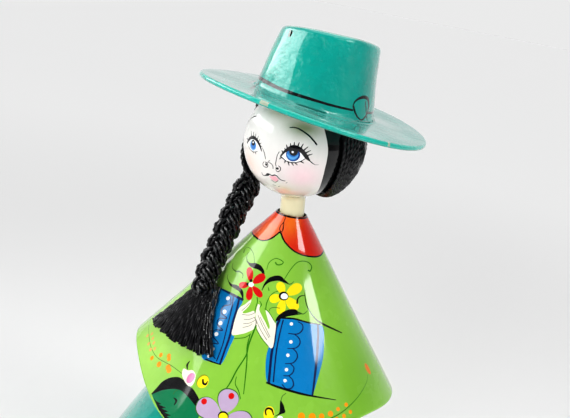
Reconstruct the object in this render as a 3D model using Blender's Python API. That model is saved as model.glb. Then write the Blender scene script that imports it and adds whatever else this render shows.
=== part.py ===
# A papier-mache figure of a girl: a cone body, a stiff poncho over it, a ball head on a neck,
# a wide hat, and black string hair that ends in one plait and its tassel.
# Metres, +Z up. The figure faces -Y and its left hand is at +X. The origin is the middle of the base.
import math

import bpy
import bmesh
from mathutils import Matrix, Vector

# Clearance between pieces that touch
GAP = 0.0003

# Body: a flared cone from the table up to the neck
NECK_HEIGHT = 0.175
BASE_RADIUS = 0.090
HEM_ROUND = 0.004
BODY_EASE = 0.056
WAIST_MARGIN = 0.004
BODY_SIDES = 40

# Poncho: a stiff oval cone, its hem lower at the front and back than at the sides
PONCHO_WALL = 0.0020
COLLAR_LAND = 0.0004
PONCHO_WIDTH_FLARE = 0.767
PONCHO_DEPTH_FLARE = 0.543
SIDE_DROP = 0.077
FRONT_EXTRA_DROP = 0.0225
HEM_SHARPNESS = 4
PONCHO_SIDES = 52
PONCHO_ROWS = 8

# Head and neck: one ball on a leaning stem, turned to the figure's right
HEAD_RADIUS = 0.0253
HEAD_RISE = 0.0354
NECK_RADIUS = 0.0059
NECK_SINK = 0.003
NECK_FILLET = 0.004
HEAD_LEAN = math.radians(11.5)
HEAD_TURN = math.radians(-15.0)
HEAD_SIDES = 34

# Hat: a crown on a tilted brim whose edge curls up along one line and down across it
BRIM_RADIUS = 0.0545
BRIM_THICKNESS = 0.0024
BRIM_RISE = 0.0529
BRIM_SHIFT = (0.0013, -0.0034)
BRIM_TILT = math.radians(6.5)
BRIM_TILT_TOWARDS = math.radians(10.0)
BRIM_CURL = 0.0012
BRIM_CURL_TOWARDS = math.radians(78.0)
CROWN_BASE_SHIFT = (0.0011, -0.0031)
CROWN_TOP_SHIFT = (0.0030, -0.0026)
CROWN_BASE_RADIUS = 0.0282
CROWN_TOP_RADIUS = 0.0232
CROWN_TOP_RISE = 0.0858
CROWN_TOP_TILT = math.radians(5.8)
CROWN_WALL = 0.0026
CROWN_ROUND = 0.0030
HAT_SIDES = 46

# Hair: a cap of strings round the back of the head, swept to the root of the plait
HAIR_RADIUS = 0.0320
NAPE_RADIUS = 0.0292
HAIR_FRONT_LEFT = math.radians(108.0)
HAIR_FRONT_RIGHT = math.radians(258.0)
LOCKS = 13
LOCK_DEPTH = 0.0009
POINTS_PER_LOCK = 2
HAIR_ROWS = 13
HAIR_ROW_DIP = 0.0003

# Plait: three thick strands, from behind the right ear to the front of the poncho.
# The route is measured from the neck's root.
PLAIT_ROUTE = (
    (-0.0225, 0.0040, 0.0160),
    (-0.0239, 0.0009, 0.0097),
    (-0.0250, -0.0027, 0.0029),
    (-0.0265, -0.0078, -0.0066),
    (-0.0276, -0.0142, -0.0182),
    (-0.0284, -0.0207, -0.0280),
    (-0.0276, -0.0276, -0.0362),
    (-0.0266, -0.0318, -0.0408),
)
STRAND_RADIUS = 0.0032
PLAIT_HALF_WIDTH = 0.0036
PLAIT_HALF_DEPTH = 0.0019
PLAIT_PITCH = 0.0225
PLAIT_ROOT_SHARE = 0.55
PLAIT_FACING_ROOT = math.radians(-2.0)
PLAIT_FACING_END = math.radians(-32.0)
PLAIT_SIDES = 14
PLAIT_ROWS = 54

# Tassel: the loose ends of the strings, fanned over the poncho
TASSEL_ROOT_ANGLE = math.radians(-38.5)
TASSEL_ROOT_DROP = 0.0385
TASSEL_ROOT_SPREAD = math.radians(10.0)
TASSEL_LEFT_ANGLE = math.radians(-10.5)
TASSEL_RIGHT_ANGLE = math.radians(-64.0)
TASSEL_DROP = 0.0665
TASSEL_ROOT_THICKNESS = 0.0090
TASSEL_TIP_THICKNESS = 0.0042
TASSEL_TUFTS = 9
TASSEL_TUFT_DEPTH = 0.0008
TASSEL_ROWS = 8
POINTS_PER_TUFT = 4

FULL_TURN = 2.0 * math.pi


def makeMaterial(name, color, roughness, metallic=0.0):
    material = bpy.data.materials.new(name)
    material.use_nodes = True
    shader = material.node_tree.nodes["Principled BSDF"]
    shader.inputs["Base Color"].default_value = (*color, 1.0)
    shader.inputs["Roughness"].default_value = roughness
    shader.inputs["Metallic"].default_value = metallic
    material.diffuse_color = (*color, 1.0)
    return material


def makeObject(name, mesh, material):
    mesh.materials.append(material)
    mesh.shade_smooth()
    mesh.set_sharp_from_angle(angle=math.radians(40.0))
    item = bpy.data.objects.new(name, mesh)
    bpy.context.scene.collection.objects.link(item)
    return item


def finishMesh(name, builder):
    bmesh.ops.recalc_face_normals(builder, faces=builder.faces)
    mesh = bpy.data.meshes.new(name)
    builder.to_mesh(mesh)
    builder.free()
    return mesh


def loftRings(name, rings, closed=False):
    """A body through rings of points. An end of one point closes it, and a longer one gets a cap,
    or the last ring meets the first."""
    builder = bmesh.new()
    made = [[builder.verts.new(point) for point in ring] for ring in rings]
    for lower, upper in zip(made, made[1:] + made[:1] if closed else made[1:]):
        count = max(len(lower), len(upper))
        for i in range(count):
            j = (i + 1) % count
            if len(lower) == 1:
                builder.faces.new((lower[0], upper[j], upper[i]))
            elif len(upper) == 1:
                builder.faces.new((lower[i], lower[j], upper[0]))
            else:
                builder.faces.new((lower[i], lower[j], upper[j], upper[i]))
    for end in (made[0], made[-1]):
        if len(end) > 1 and not closed:
            builder.faces.new(end)
    return finishMesh(name, builder)


def loftPatch(name, outer, inner):
    """A closed body between two sheets of points that have the same rows and columns."""
    builder = bmesh.new()
    top = [[builder.verts.new(point) for point in row] for row in outer]
    bottom = [[builder.verts.new(point) for point in row] for row in inner]
    rows, columns = len(top), len(top[0])
    for i in range(rows - 1):
        for j in range(columns - 1):
            builder.faces.new((top[i][j], top[i][j + 1], top[i + 1][j + 1], top[i + 1][j]))
            builder.faces.new((bottom[i][j], bottom[i + 1][j], bottom[i + 1][j + 1], bottom[i][j + 1]))
    for i in range(rows - 1):
        for j in (0, columns - 1):
            builder.faces.new((top[i][j], top[i + 1][j], bottom[i + 1][j], bottom[i][j]))
    for j in range(columns - 1):
        for i in (0, rows - 1):
            builder.faces.new((top[i][j], top[i][j + 1], bottom[i][j + 1], bottom[i][j]))
    return finishMesh(name, builder)


def ringPoints(radius, height, sides):
    if radius <= 0.0:
        return [Vector((0.0, 0.0, height))]
    turns = [FULL_TURN * i / sides for i in range(sides)]
    return [Vector((radius * math.cos(a), radius * math.sin(a), height)) for a in turns]


def arcProfile(centre, radius, start, end, steps):
    """Points (radius, height) on an arc in a turned profile, angles from the outward direction."""
    angles = [start + (end - start) * i / steps for i in range(steps + 1)]
    return [(centre[0] + radius * math.cos(a), centre[1] + radius * math.sin(a)) for a in angles]


# Poncho as a surface: angle from the front and drop below the neck's root

def holeRadius():
    leaningNeck = NECK_RADIUS / math.cos(HEAD_LEAN) + NECK_SINK * math.tan(HEAD_LEAN)
    return leaningNeck + GAP


def ponchoTopRadius():
    return holeRadius() + COLLAR_LAND


def ponchoPoint(angle, drop, lift=0.0):
    halfWidth = ponchoTopRadius() + PONCHO_WIDTH_FLARE * drop
    halfDepth = ponchoTopRadius() + PONCHO_DEPTH_FLARE * drop
    place = Vector((halfWidth * math.sin(angle), -halfDepth * math.cos(angle), NECK_HEIGHT - drop))
    return place + lift * ponchoNormal(angle, halfWidth, halfDepth)


def ponchoNormal(angle, halfWidth, halfDepth):
    around = Vector((halfWidth * math.cos(angle), halfDepth * math.sin(angle), 0.0))
    down = Vector((PONCHO_WIDTH_FLARE * math.sin(angle), -PONCHO_DEPTH_FLARE * math.cos(angle), -1.0))
    return down.cross(around).normalized()


def hemDrop(angle):
    return SIDE_DROP + FRONT_EXTRA_DROP * math.cos(angle) ** HEM_SHARPNESS


def ponchoInside(angle, drop):
    """The wall's inner face. Near the neck it is the round hole that the stem passes."""
    place = ponchoPoint(angle, drop, -PONCHO_WALL)
    widen = max(1.0, holeRadius() / math.hypot(place.x, place.y))
    return Vector((place.x * widen, place.y * widen, place.z))


def buildPoncho():
    angles = [FULL_TURN * j / PONCHO_SIDES for j in range(PONCHO_SIDES)]
    outer, inner = [], []
    for i in range(PONCHO_ROWS + 1):
        share = i / PONCHO_ROWS
        outer.append([ponchoPoint(a, hemDrop(a) * share) for a in angles])
        insideDrops = [PONCHO_WALL + (hemDrop(a) - PONCHO_WALL) * share for a in angles]
        inner.append([ponchoInside(a, drop) for a, drop in zip(angles, insideDrops)])
    hole = [Vector((holeRadius() * math.sin(a), -holeRadius() * math.cos(a), NECK_HEIGHT)) for a in angles]
    mesh = loftRings("poncho", outer + list(reversed(inner)) + [hole], closed=True)
    return makeObject("poncho", mesh, makeMaterial("poncho_paint", (0.33, 0.63, 0.10), 0.18))


def buildBody():
    stemBottom = NECK_SINK * math.cos(HEAD_LEAN) + NECK_RADIUS * math.sin(HEAD_LEAN)
    topDrop = stemBottom + GAP
    slant = math.sqrt(1.0 + PONCHO_DEPTH_FLARE ** 2)
    insideRadius = ponchoTopRadius() + PONCHO_DEPTH_FLARE * topDrop - PONCHO_WALL * slant
    topRadius = insideRadius - GAP * slant
    topHeight = NECK_HEIGHT - topDrop
    # Under the poncho the cone flares a little less than it, and below the hem it runs on to the base
    waistDrop = SIDE_DROP + FRONT_EXTRA_DROP + WAIST_MARGIN
    waistRadius = topRadius + (PONCHO_DEPTH_FLARE - BODY_EASE) * (waistDrop - topDrop)
    hemCentre = (BASE_RADIUS - HEM_ROUND, HEM_ROUND)
    slope = math.atan2(BASE_RADIUS - waistRadius, NECK_HEIGHT - waistDrop)
    profile = [(0.0, 0.0)]
    profile += arcProfile(hemCentre, HEM_ROUND, -0.5 * math.pi, slope, 4)
    profile.append((waistRadius, NECK_HEIGHT - waistDrop))
    profile.append((topRadius, topHeight))
    profile.append((0.0, topHeight))
    rings = [ringPoints(radius, height, BODY_SIDES) for radius, height in profile]
    mesh = loftRings("body", rings)
    return makeObject("body", mesh, makeMaterial("body_paint", (0.0, 0.33, 0.28), 0.2))


def headFrame():
    """Turns the head's own axes (it looks along -Y, its crown is +Z) into the figure's."""
    turn = Matrix.Rotation(HEAD_TURN, 4, "Z") @ Matrix.Rotation(HEAD_LEAN, 4, "X")
    return Matrix.Translation((0.0, 0.0, NECK_HEIGHT)) @ turn


def headCentre():
    return headFrame() @ Vector((0.0, 0.0, HEAD_RISE))


def buildHead():
    # The fillet's arc touches the stem and the ball
    filletRadius = NECK_RADIUS + NECK_FILLET
    filletDrop = math.sqrt((HEAD_RADIUS + NECK_FILLET) ** 2 - filletRadius ** 2)
    touch = math.atan2(filletDrop, filletRadius)
    profile = [(0.0, -NECK_SINK), (NECK_RADIUS, -NECK_SINK)]
    filletCentre = (filletRadius, HEAD_RISE - filletDrop)
    profile += arcProfile(filletCentre, NECK_FILLET, math.pi, math.pi - touch, 3)
    ball = arcProfile((0.0, HEAD_RISE), HEAD_RADIUS, -touch, 0.5 * math.pi, 14)
    profile += ball[1:-1]
    profile.append((0.0, HEAD_RISE + HEAD_RADIUS))
    rings = [ringPoints(radius, height, HEAD_SIDES) for radius, height in profile]
    head = makeObject("head", loftRings("head", rings), makeMaterial("skin_paint", (0.83, 0.79, 0.75), 0.15))
    head.matrix_world = headFrame()
    return head


# Hat, from the brim's own plane and the crown's upright axis

def brimAxes():
    lean = math.sin(BRIM_TILT)
    normal = Vector((lean * math.cos(BRIM_TILT_TOWARDS), lean * math.sin(BRIM_TILT_TOWARDS), math.cos(BRIM_TILT)))
    across = Vector((0.0, 1.0, 0.0)).cross(normal).normalized()
    return across, normal.cross(across), normal


def brimCentre():
    return Vector((*BRIM_SHIFT, NECK_HEIGHT + BRIM_RISE))


def heightOnBrim(x, y, lift):
    centre, normal = brimCentre(), brimAxes()[2]
    level = centre + lift * normal
    return level.z - (normal.x * (x - level.x) + normal.y * (y - level.y)) / normal.z


def brimRing(radius, lift, curl=BRIM_CURL):
    across, along, normal = brimAxes()
    ring = []
    for i in range(HAT_SIDES):
        a = FULL_TURN * i / HAT_SIDES
        raised = lift + curl * math.cos(2.0 * (a - BRIM_CURL_TOWARDS))
        ring.append(brimCentre() + raised * normal + radius * (math.cos(a) * across + math.sin(a) * along))
    return ring


def crownRing(radius, topHeight, share, lift):
    """A ring round the crown: share 0 lies on the brim's plane, share 1 is parallel to the top."""
    ring = []
    centre = Vector(CROWN_BASE_SHIFT).lerp(Vector(CROWN_TOP_SHIFT), share)
    for i in range(HAT_SIDES):
        a = FULL_TURN * i / HAT_SIDES
        x = centre.x + radius * math.cos(a)
        y = centre.y + radius * math.sin(a)
        sloping = topHeight - math.tan(CROWN_TOP_TILT) * (y - centre.y)
        ring.append(Vector((x, y, (1.0 - share) * heightOnBrim(x, y, lift) + share * sloping)))
    return ring


def crownSide(baseRadius, topRadius, topHeight, lift, round_):
    """Rings up a crown wall, and over its rounded edge to the flat top."""
    rings = [crownRing(baseRadius + (topRadius - baseRadius) * k, topHeight, k, lift) for k in (0.0, 0.3, 0.6)]
    edge = arcProfile((topRadius - round_, topHeight - round_), round_, math.radians(12.0), 0.5 * math.pi, 3)
    rings += [crownRing(radius, height, 1.0, lift) for radius, height in edge]
    rings.append(crownRing((topRadius - round_) * 0.5, topHeight, 1.0, lift))
    rings.append([Vector((*CROWN_TOP_SHIFT, topHeight))])
    return rings


def buildHat():
    half = 0.5 * BRIM_THICKNESS
    top = NECK_HEIGHT + CROWN_TOP_RISE
    inner = crownSide(CROWN_BASE_RADIUS - CROWN_WALL, CROWN_TOP_RADIUS - CROWN_WALL, top - CROWN_WALL,
                      -half, CROWN_ROUND - 0.5 * CROWN_WALL)
    outer = crownSide(CROWN_BASE_RADIUS, CROWN_TOP_RADIUS, top, half, CROWN_ROUND)
    edge = [brimRing(BRIM_RADIUS - half + half * math.cos(a), half * math.sin(a))
            for a in (math.radians(d) for d in (-90.0, -30.0, 30.0, 90.0))]
    # The curl grows as the square of the way from the crown to the edge
    middle = 0.5 * (CROWN_BASE_RADIUS + BRIM_RADIUS)
    edge = [brimRing(middle, -half, 0.25 * BRIM_CURL)] + edge + [brimRing(middle, half, 0.25 * BRIM_CURL)]
    mesh = loftRings("hat", list(reversed(inner)) + edge + outer)
    return makeObject("hat", mesh, makeMaterial("hat_paint", (0.0, 0.33, 0.27), 0.12))


# Hair

def hairPlace(turn, rise, radius):
    """A place round the head: turn from the face towards the figure's left, rise above its middle."""
    flat = math.cos(rise) * radius
    local = Vector((flat * math.sin(turn), -flat * math.cos(turn), HEAD_RISE + radius * math.sin(rise)))
    return headFrame() @ local


def bezier(values, t):
    a, b, c, d = values
    s = 1.0 - t
    return s * s * s * a + 3.0 * s * s * t * b + 3.0 * s * t * t * c + t * t * t * d


def lockPath(across, along, radiusAt):
    """A lock of hair from under the brim to the plait's root. The first locks hang before they round the nape."""
    start = HAIR_FRONT_LEFT + (HAIR_FRONT_RIGHT - HAIR_FRONT_LEFT) * across
    end = math.radians(268.0) + math.radians(12.0) * across
    rise = math.radians(-57.0) + math.radians(26.0) * across
    upperTurn = start + math.radians(25.0 * across - 24.0)
    lowerTurn = start + math.radians(36.0 * across - 24.0)
    upperRise = math.radians(34.0 * across - 42.0)
    lowerRise = math.radians(48.0 * across - 68.0)
    turn = bezier((start, upperTurn, lowerTurn, end), along)
    top = hairTop(start, radiusAt)
    height = bezier((top, upperRise, lowerRise, rise), along)
    return hairPlace(turn, height, radiusAt(height))


def hairTop(turn, radiusAt):
    """How far up the head a lock may start, so that it ends just under the brim."""
    low, high = 0.0, math.radians(70.0)
    for _ in range(30):
        rise = 0.5 * (low + high)
        place = hairPlace(turn, rise, radiusAt(rise))
        if place.z < heightOnBrim(place.x, place.y, -0.5 * BRIM_THICKNESS - GAP):
            low = rise
        else:
            high = rise
    return low


def outerHairRadius(rise):
    if rise > 0.0:
        return HAIR_RADIUS / math.cos(rise) ** 0.8
    share = min(1.0, rise / math.radians(-60.0))
    return HAIR_RADIUS + (NAPE_RADIUS - HAIR_RADIUS) * share


def innerHairRadius(rise):
    # The flat faces between two rows dip towards the ball by up to HAIR_ROW_DIP
    return HEAD_RADIUS + GAP + HAIR_ROW_DIP


def buildHairCap(material):
    columns = LOCKS * POINTS_PER_LOCK
    outer, inner = [], []
    for i in range(HAIR_ROWS + 1):
        along = i / HAIR_ROWS
        outerRow, innerRow = [], []
        for j in range(columns + 1):
            across = j / columns
            groove = LOCK_DEPTH * (1.0 if j % POINTS_PER_LOCK == 0 else 0.0)
            outerRow.append(lockPath(across, along, lambda rise: outerHairRadius(rise) - groove))
            innerRow.append(lockPath(across, along, innerHairRadius))
        outer.append(outerRow)
        inner.append(innerRow)
    return makeObject("hair", loftPatch("hair", outer, inner), material)


def routePoint(share):
    """A smooth curve through the route's points."""
    points = [Vector(point) + Vector((0.0, 0.0, NECK_HEIGHT)) for point in PLAIT_ROUTE]
    spans = len(points) - 1
    i = min(int(share * spans), spans - 1)
    t = share * spans - i
    before, after = points[max(i - 1, 0)], points[min(i + 2, spans)]
    start, end = points[i], points[i + 1]
    slopeStart, slopeEnd = 0.5 * (end - before), 0.5 * (after - start)
    return ((2 * t ** 3 - 3 * t ** 2 + 1) * start + (t ** 3 - 2 * t ** 2 + t) * slopeStart
            + (3 * t ** 2 - 2 * t ** 3) * end + (t ** 3 - t ** 2) * slopeEnd)


def plaitReach(angle, phase):
    """How far the three strands reach from the plait's middle line, in one direction."""
    reach = 0.5 * STRAND_RADIUS
    for strand in range(3):
        turn = phase + FULL_TURN * strand / 3.0
        x = PLAIT_HALF_WIDTH * math.sin(turn)
        y = PLAIT_HALF_DEPTH * math.sin(2.0 * turn)
        ahead = x * math.cos(angle) + y * math.sin(angle)
        aside = y * math.cos(angle) - x * math.sin(angle)
        if abs(aside) < STRAND_RADIUS:
            reach = max(reach, ahead + math.sqrt(STRAND_RADIUS ** 2 - aside ** 2))
    return reach


def buildPlait(material):
    rings = []
    length = 0.0
    for i in range(PLAIT_ROWS + 1):
        share = i / PLAIT_ROWS
        here = routePoint(share)
        ahead = (routePoint(min(1.0, share + 0.01)) - routePoint(max(0.0, share - 0.01))).normalized()
        facing = PLAIT_FACING_ROOT + (PLAIT_FACING_END - PLAIT_FACING_ROOT) * share
        outward = Vector((math.sin(facing), -math.cos(facing), 0.0))
        width = ahead.cross(outward).normalized()
        depth = width.cross(ahead)
        if i:
            length += (here - routePoint((i - 1) / PLAIT_ROWS)).length
        phase = FULL_TURN * length / PLAIT_PITCH
        gather = PLAIT_ROOT_SHARE + (1.0 - PLAIT_ROOT_SHARE) * min(1.0, share * 7.0)
        ring = []
        for j in range(PLAIT_SIDES):
            angle = FULL_TURN * j / PLAIT_SIDES
            reach = gather * plaitReach(angle, phase)
            ring.append(here + reach * (math.cos(angle) * width + math.sin(angle) * depth))
        rings.append(ring)
    return makeObject("plait_part", loftRings("plait_part", rings), material)


def tasselPlace(across, down, lift):
    """A place over the poncho: across from the figure's left edge of the fan, down from its root."""
    rootAngle = TASSEL_ROOT_ANGLE + TASSEL_ROOT_SPREAD * (0.5 - across)
    tipAngle = TASSEL_LEFT_ANGLE + (TASSEL_RIGHT_ANGLE - TASSEL_LEFT_ANGLE) * across
    angle = rootAngle + (tipAngle - rootAngle) * down
    drop = TASSEL_ROOT_DROP + (TASSEL_DROP - TASSEL_ROOT_DROP) * down
    return ponchoPoint(angle, drop, lift)


def buildTassel(material):
    columns = TASSEL_TUFTS * POINTS_PER_TUFT
    upper, lower = [], []
    for i in range(TASSEL_ROWS + 1):
        down = i / TASSEL_ROWS
        thickness = TASSEL_ROOT_THICKNESS + (TASSEL_TIP_THICKNESS - TASSEL_ROOT_THICKNESS) * down ** 0.7
        upperRow, lowerRow = [], []
        for j in range(columns + 1):
            across = j / columns
            crown = math.sqrt(max(0.0, 1.0 - (2.0 * across - 1.0) ** 6))
            tuft = TASSEL_TUFT_DEPTH * math.cos(FULL_TURN * across * TASSEL_TUFTS)
            upperRow.append(tasselPlace(across, down, 2.0 * GAP + (thickness - tuft) * (0.35 + 0.65 * crown)))
            lowerRow.append(tasselPlace(across, down, 2.0 * GAP))
        upper.append(upperRow)
        lower.append(lowerRow)
    return makeObject("tassel_part", loftPatch("tassel_part", upper, lower), material)


def joinSolids(base, parts):
    """One body from touching ones; the joined ones become hidden guides."""
    for part in parts:
        union = base.modifiers.new("join_" + part.name, "BOOLEAN")
        union.operation = "UNION"
        union.solver = "EXACT"
        union.object = part
        part.hide_render = True
        part.display_type = "WIRE"
    return base


def buildHair():
    material = makeMaterial("hair_string", (0.006, 0.006, 0.008), 0.25)
    return joinSolids(buildHairCap(material), [buildPlait(material), buildTassel(material)])


def main():
    for item in list(bpy.data.objects):
        bpy.data.objects.remove(item, do_unlink=True)
    buildBody()
    buildPoncho()
    buildHead()
    buildHair()
    buildHat()


main()
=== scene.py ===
import math

import bpy
import numpy as np
from mathutils import Matrix, Vector
from mathutils.geometry import delaunay_2d_cdt


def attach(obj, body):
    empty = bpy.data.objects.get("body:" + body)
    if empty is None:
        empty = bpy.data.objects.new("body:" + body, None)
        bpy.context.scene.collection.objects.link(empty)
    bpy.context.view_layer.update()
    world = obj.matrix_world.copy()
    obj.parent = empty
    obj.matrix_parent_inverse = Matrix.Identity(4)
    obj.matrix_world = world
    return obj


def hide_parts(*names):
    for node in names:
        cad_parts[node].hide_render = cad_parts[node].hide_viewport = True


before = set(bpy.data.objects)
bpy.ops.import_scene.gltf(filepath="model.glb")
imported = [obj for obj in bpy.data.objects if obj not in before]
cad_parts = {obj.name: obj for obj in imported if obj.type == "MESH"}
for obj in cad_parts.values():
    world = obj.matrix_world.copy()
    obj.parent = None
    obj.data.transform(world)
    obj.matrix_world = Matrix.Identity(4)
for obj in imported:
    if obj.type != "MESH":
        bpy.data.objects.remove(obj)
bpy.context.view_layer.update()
metre = 0.001
fullTurn = 2.0 * math.pi
neckHeight = 175.0

# The camera stands where the photograph was taken from: the aim is the root of the neck
view = {
    "aim": (0.0, 0.0, neckHeight),
    "aimPixel": (292.0, 212.5),
    "azimuth": 15.0,
    "elevation": 14.0,
    "roll": 11.0,
    "distance": 430.0,
    "focalPixels": 896.0,
    "framePixels": (570.0, 418.0),
    "sensorWidth": 36.0,
    "clip": (0.01, 60.0),
    "pixelsPerMillimetre": 1.0 / 0.48,
}


class PhotoView:
    # The photograph's camera as vectors, which also places paint by the pixels where it shows
    def __init__(self, facts):
        azimuth, elevation, roll = (math.radians(facts[key]) for key in ("azimuth", "elevation", "roll"))
        level = np.array([math.cos(azimuth), math.sin(azimuth), 0.0])
        self.back = np.array([
            math.sin(azimuth) * math.cos(elevation),
            -math.cos(azimuth) * math.cos(elevation),
            math.sin(elevation),
        ])
        upright = np.cross(self.back, level)
        self.right = level * math.cos(roll) + upright * math.sin(roll)
        self.up = upright * math.cos(roll) - level * math.sin(roll)
        self.focal = facts["focalPixels"]
        self.middle = 0.5 * np.array(facts["framePixels"])
        across, down = (np.array(facts["aimPixel"]) - self.middle) / self.focal
        ray = self.right * across - self.up * down - self.back
        self.place = np.array(facts["aim"]) - ray * facts["distance"] / np.linalg.norm(ray)

    def project(self, places):
        away = places - self.place
        depth = -(away @ self.back)
        sideways = np.stack([away @ self.right, -(away @ self.up)], -1)
        return self.middle + self.focal * sideways / depth[:, None]

    def addCamera(self, facts):
        data = bpy.data.cameras.new("photoCamera")
        data.sensor_width = facts["sensorWidth"]
        data.lens = self.focal / facts["framePixels"][0] * facts["sensorWidth"]
        data.clip_start, data.clip_end = facts["clip"]
        camera = bpy.data.objects.new("photoCamera", data)
        axes = Matrix((self.right, self.up, self.back)).transposed().to_4x4()
        camera.matrix_world = Matrix.Translation(Vector(self.place) * metre) @ axes
        bpy.context.scene.collection.objects.link(camera)
        bpy.context.scene.camera = camera


photo = PhotoView(view)
photo.addCamera(view)
print("camera is at the photograph's place")


# Small vector helpers on rows of numbers

def unit(vectors):
    return vectors / np.maximum(np.linalg.norm(vectors, axis=-1, keepdims=True), 1e-9)


def rows(*columns):
    return np.stack(np.broadcast_arrays(*columns), -1)


def circle(radius, count):
    turns = np.arange(count) * fullTurn / count
    return rows(radius * np.sin(turns), -radius * np.cos(turns))


def levelRing(ahead, radius, height):
    return rows(radius * ahead[:, 0], radius * ahead[:, 1], height)


def smoothLine(points, perSpan=8, closed=False):
    # A smooth curve through the points, with perSpan steps between two of them
    points = np.asarray(points, float)
    count = len(points)
    if count < 3:
        steps = np.linspace(0.0, 1.0, perSpan + 1)[:, None]
        return points[0] + (points[1] - points[0]) * steps
    spans = count if closed else count - 1
    made = []
    for i in range(spans):
        if closed:
            before, start, end, after = (points[(i + k) % count] for k in (-1, 0, 1, 2))
        else:
            before, start, end, after = (points[min(max(i + k, 0), count - 1)] for k in (-1, 0, 1, 2))
        t = (np.arange(perSpan) / perSpan)[:, None]
        leave, arrive = 0.5 * (end - before), 0.5 * (after - start)
        made.append((2 * t ** 3 - 3 * t ** 2 + 1) * start + (t ** 3 - 2 * t ** 2 + t) * leave
                    + (3 * t ** 2 - 2 * t ** 3) * end + (t ** 3 - t ** 2) * arrive)
    if not closed:
        made.append(points[-1:])
    return np.concatenate(made)


def straightLine(points, step):
    # The same corners, with points added so that none is further than a step from the next
    points = np.asarray(points, float)
    made = []
    for start, end in zip(points, np.roll(points, -1, 0)):
        count = max(1, int(np.linalg.norm(end - start) / step))
        made.append(start + (end - start) * (np.arange(count) / count)[:, None])
    return np.concatenate(made)


class HandWobble:
    # The slow unevenness of pulp and paper, as a lift along the surface: its size, wavelength and seed
    waveCount = 7
    lengthShares = (0.7, 1.6)

    def __init__(self, size, wavelength, seed):
        rng = np.random.default_rng(seed)
        turns = unit(rng.normal(size=(self.waveCount, 3)))
        lengths = wavelength * rng.uniform(*self.lengthShares, (self.waveCount, 1))
        self.waves = turns * (fullTurn / lengths)
        self.phases = rng.uniform(0.0, fullTurn, self.waveCount)
        self.size = size / self.waveCount ** 0.5

    def __call__(self, places):
        return self.size * np.sin(places @ self.waves.T + self.phases).sum(-1)


# Surfaces that carry paint. Each is unrolled on a flat chart in millimetres.

class PaintedSurface:
    probe = 0.05
    searchRounds = 12
    longestMove = 4.0

    def __init__(self, place, net, upward=None):
        self.place = place
        self.net = net
        self.upward = upward or (lambda chart: -unit(chart))

    def slopes(self, chart):
        moves = np.eye(2) * self.probe
        rises = [self.place(chart + move) - self.place(chart - move) for move in moves]
        return np.stack(rises, -1) / (2.0 * self.probe)

    def normals(self, chart):
        slopes = self.slopes(chart)
        return unit(np.cross(slopes[..., 0], slopes[..., 1]))

    def unroll(self, chart, vectors):
        # The chart's moves that make these moves along the surface
        slopes = self.slopes(chart)
        turned = np.swapaxes(slopes, -1, -2)
        return np.linalg.solve(turned @ slopes, (turned @ vectors[..., None]))[..., 0]

    def find(self, pixels):
        # The chart points that the photograph shows at these pixels
        pixels = np.atleast_2d(np.asarray(pixels, float))
        places = self.place(self.net)
        facing = ((photo.place - places) * self.normals(self.net)).sum(-1) > 0.0
        net, seen = self.net[facing], photo.project(places[facing])
        nearest = np.argmin(((pixels[:, None] - seen[None]) ** 2).sum(-1), 1)
        chart = net[nearest].copy()
        for _ in range(self.searchRounds):
            here = photo.project(self.place(chart))
            slope = np.stack([(photo.project(self.place(chart + move)) - here) / self.probe
                              for move in np.eye(2) * self.probe], -1)
            # Where the surface is seen almost edge on, the step is held back
            weak = np.abs(np.linalg.det(slope)) < 0.02
            slope[weak] += 0.5 * np.eye(2)
            move = np.linalg.solve(slope, (pixels - here)[..., None])[..., 0]
            length = np.maximum(np.linalg.norm(move, axis=-1, keepdims=True), 1e-9)
            chart += move * np.minimum(1.0, self.longestMove / length)
        return chart

    def around(self, spot, offsets, turn=0.0):
        # Chart points at millimetre offsets (right, up) from a spot, on the surface as one looks at it
        spot = np.asarray(spot, float)[None]
        offsets = np.atleast_2d(np.asarray(offsets, float))
        slopes = self.slopes(spot)[0]
        up = unit(slopes @ self.upward(spot)[0])
        right = unit(np.cross(up, self.normals(spot)[0]))
        cosine, sine = math.cos(turn), math.sin(turn)
        x = offsets[:, 0] * cosine - offsets[:, 1] * sine
        y = offsets[:, 0] * sine + offsets[:, 1] * cosine
        moves = x[:, None] * right + y[:, None] * up
        return spot + self.unroll(np.repeat(spot, len(moves), 0), moves)


def polarNet(inner, outer, step, reach=None):
    # Points on rings of a round chart, every second ring turned by half a step
    made = []
    radii = np.arange(inner, outer, step)
    for i, radius in enumerate(radii):
        count = max(6, int(fullTurn * radius / step))
        turns = (np.arange(count) + 0.5 * (i % 2)) * fullTurn / count
        ring = rows(radius * np.sin(turns), -radius * np.cos(turns))
        made.append(ring if reach is None else ring[radius < reach(turns)])
    return np.concatenate(made)


# Paint is laid on a chart as areas, brush lines and dots, and later paint covers earlier paint.

def linear(code):
    # A colour as it looks, in hexadecimal, to the linear values that a shader takes
    values = np.array([int(code[i:i + 2], 16) for i in (0, 2, 4)]) / 255.0
    return np.where(values <= 0.04045, values / 12.92, ((values + 0.055) / 1.055) ** 2.4)


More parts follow.
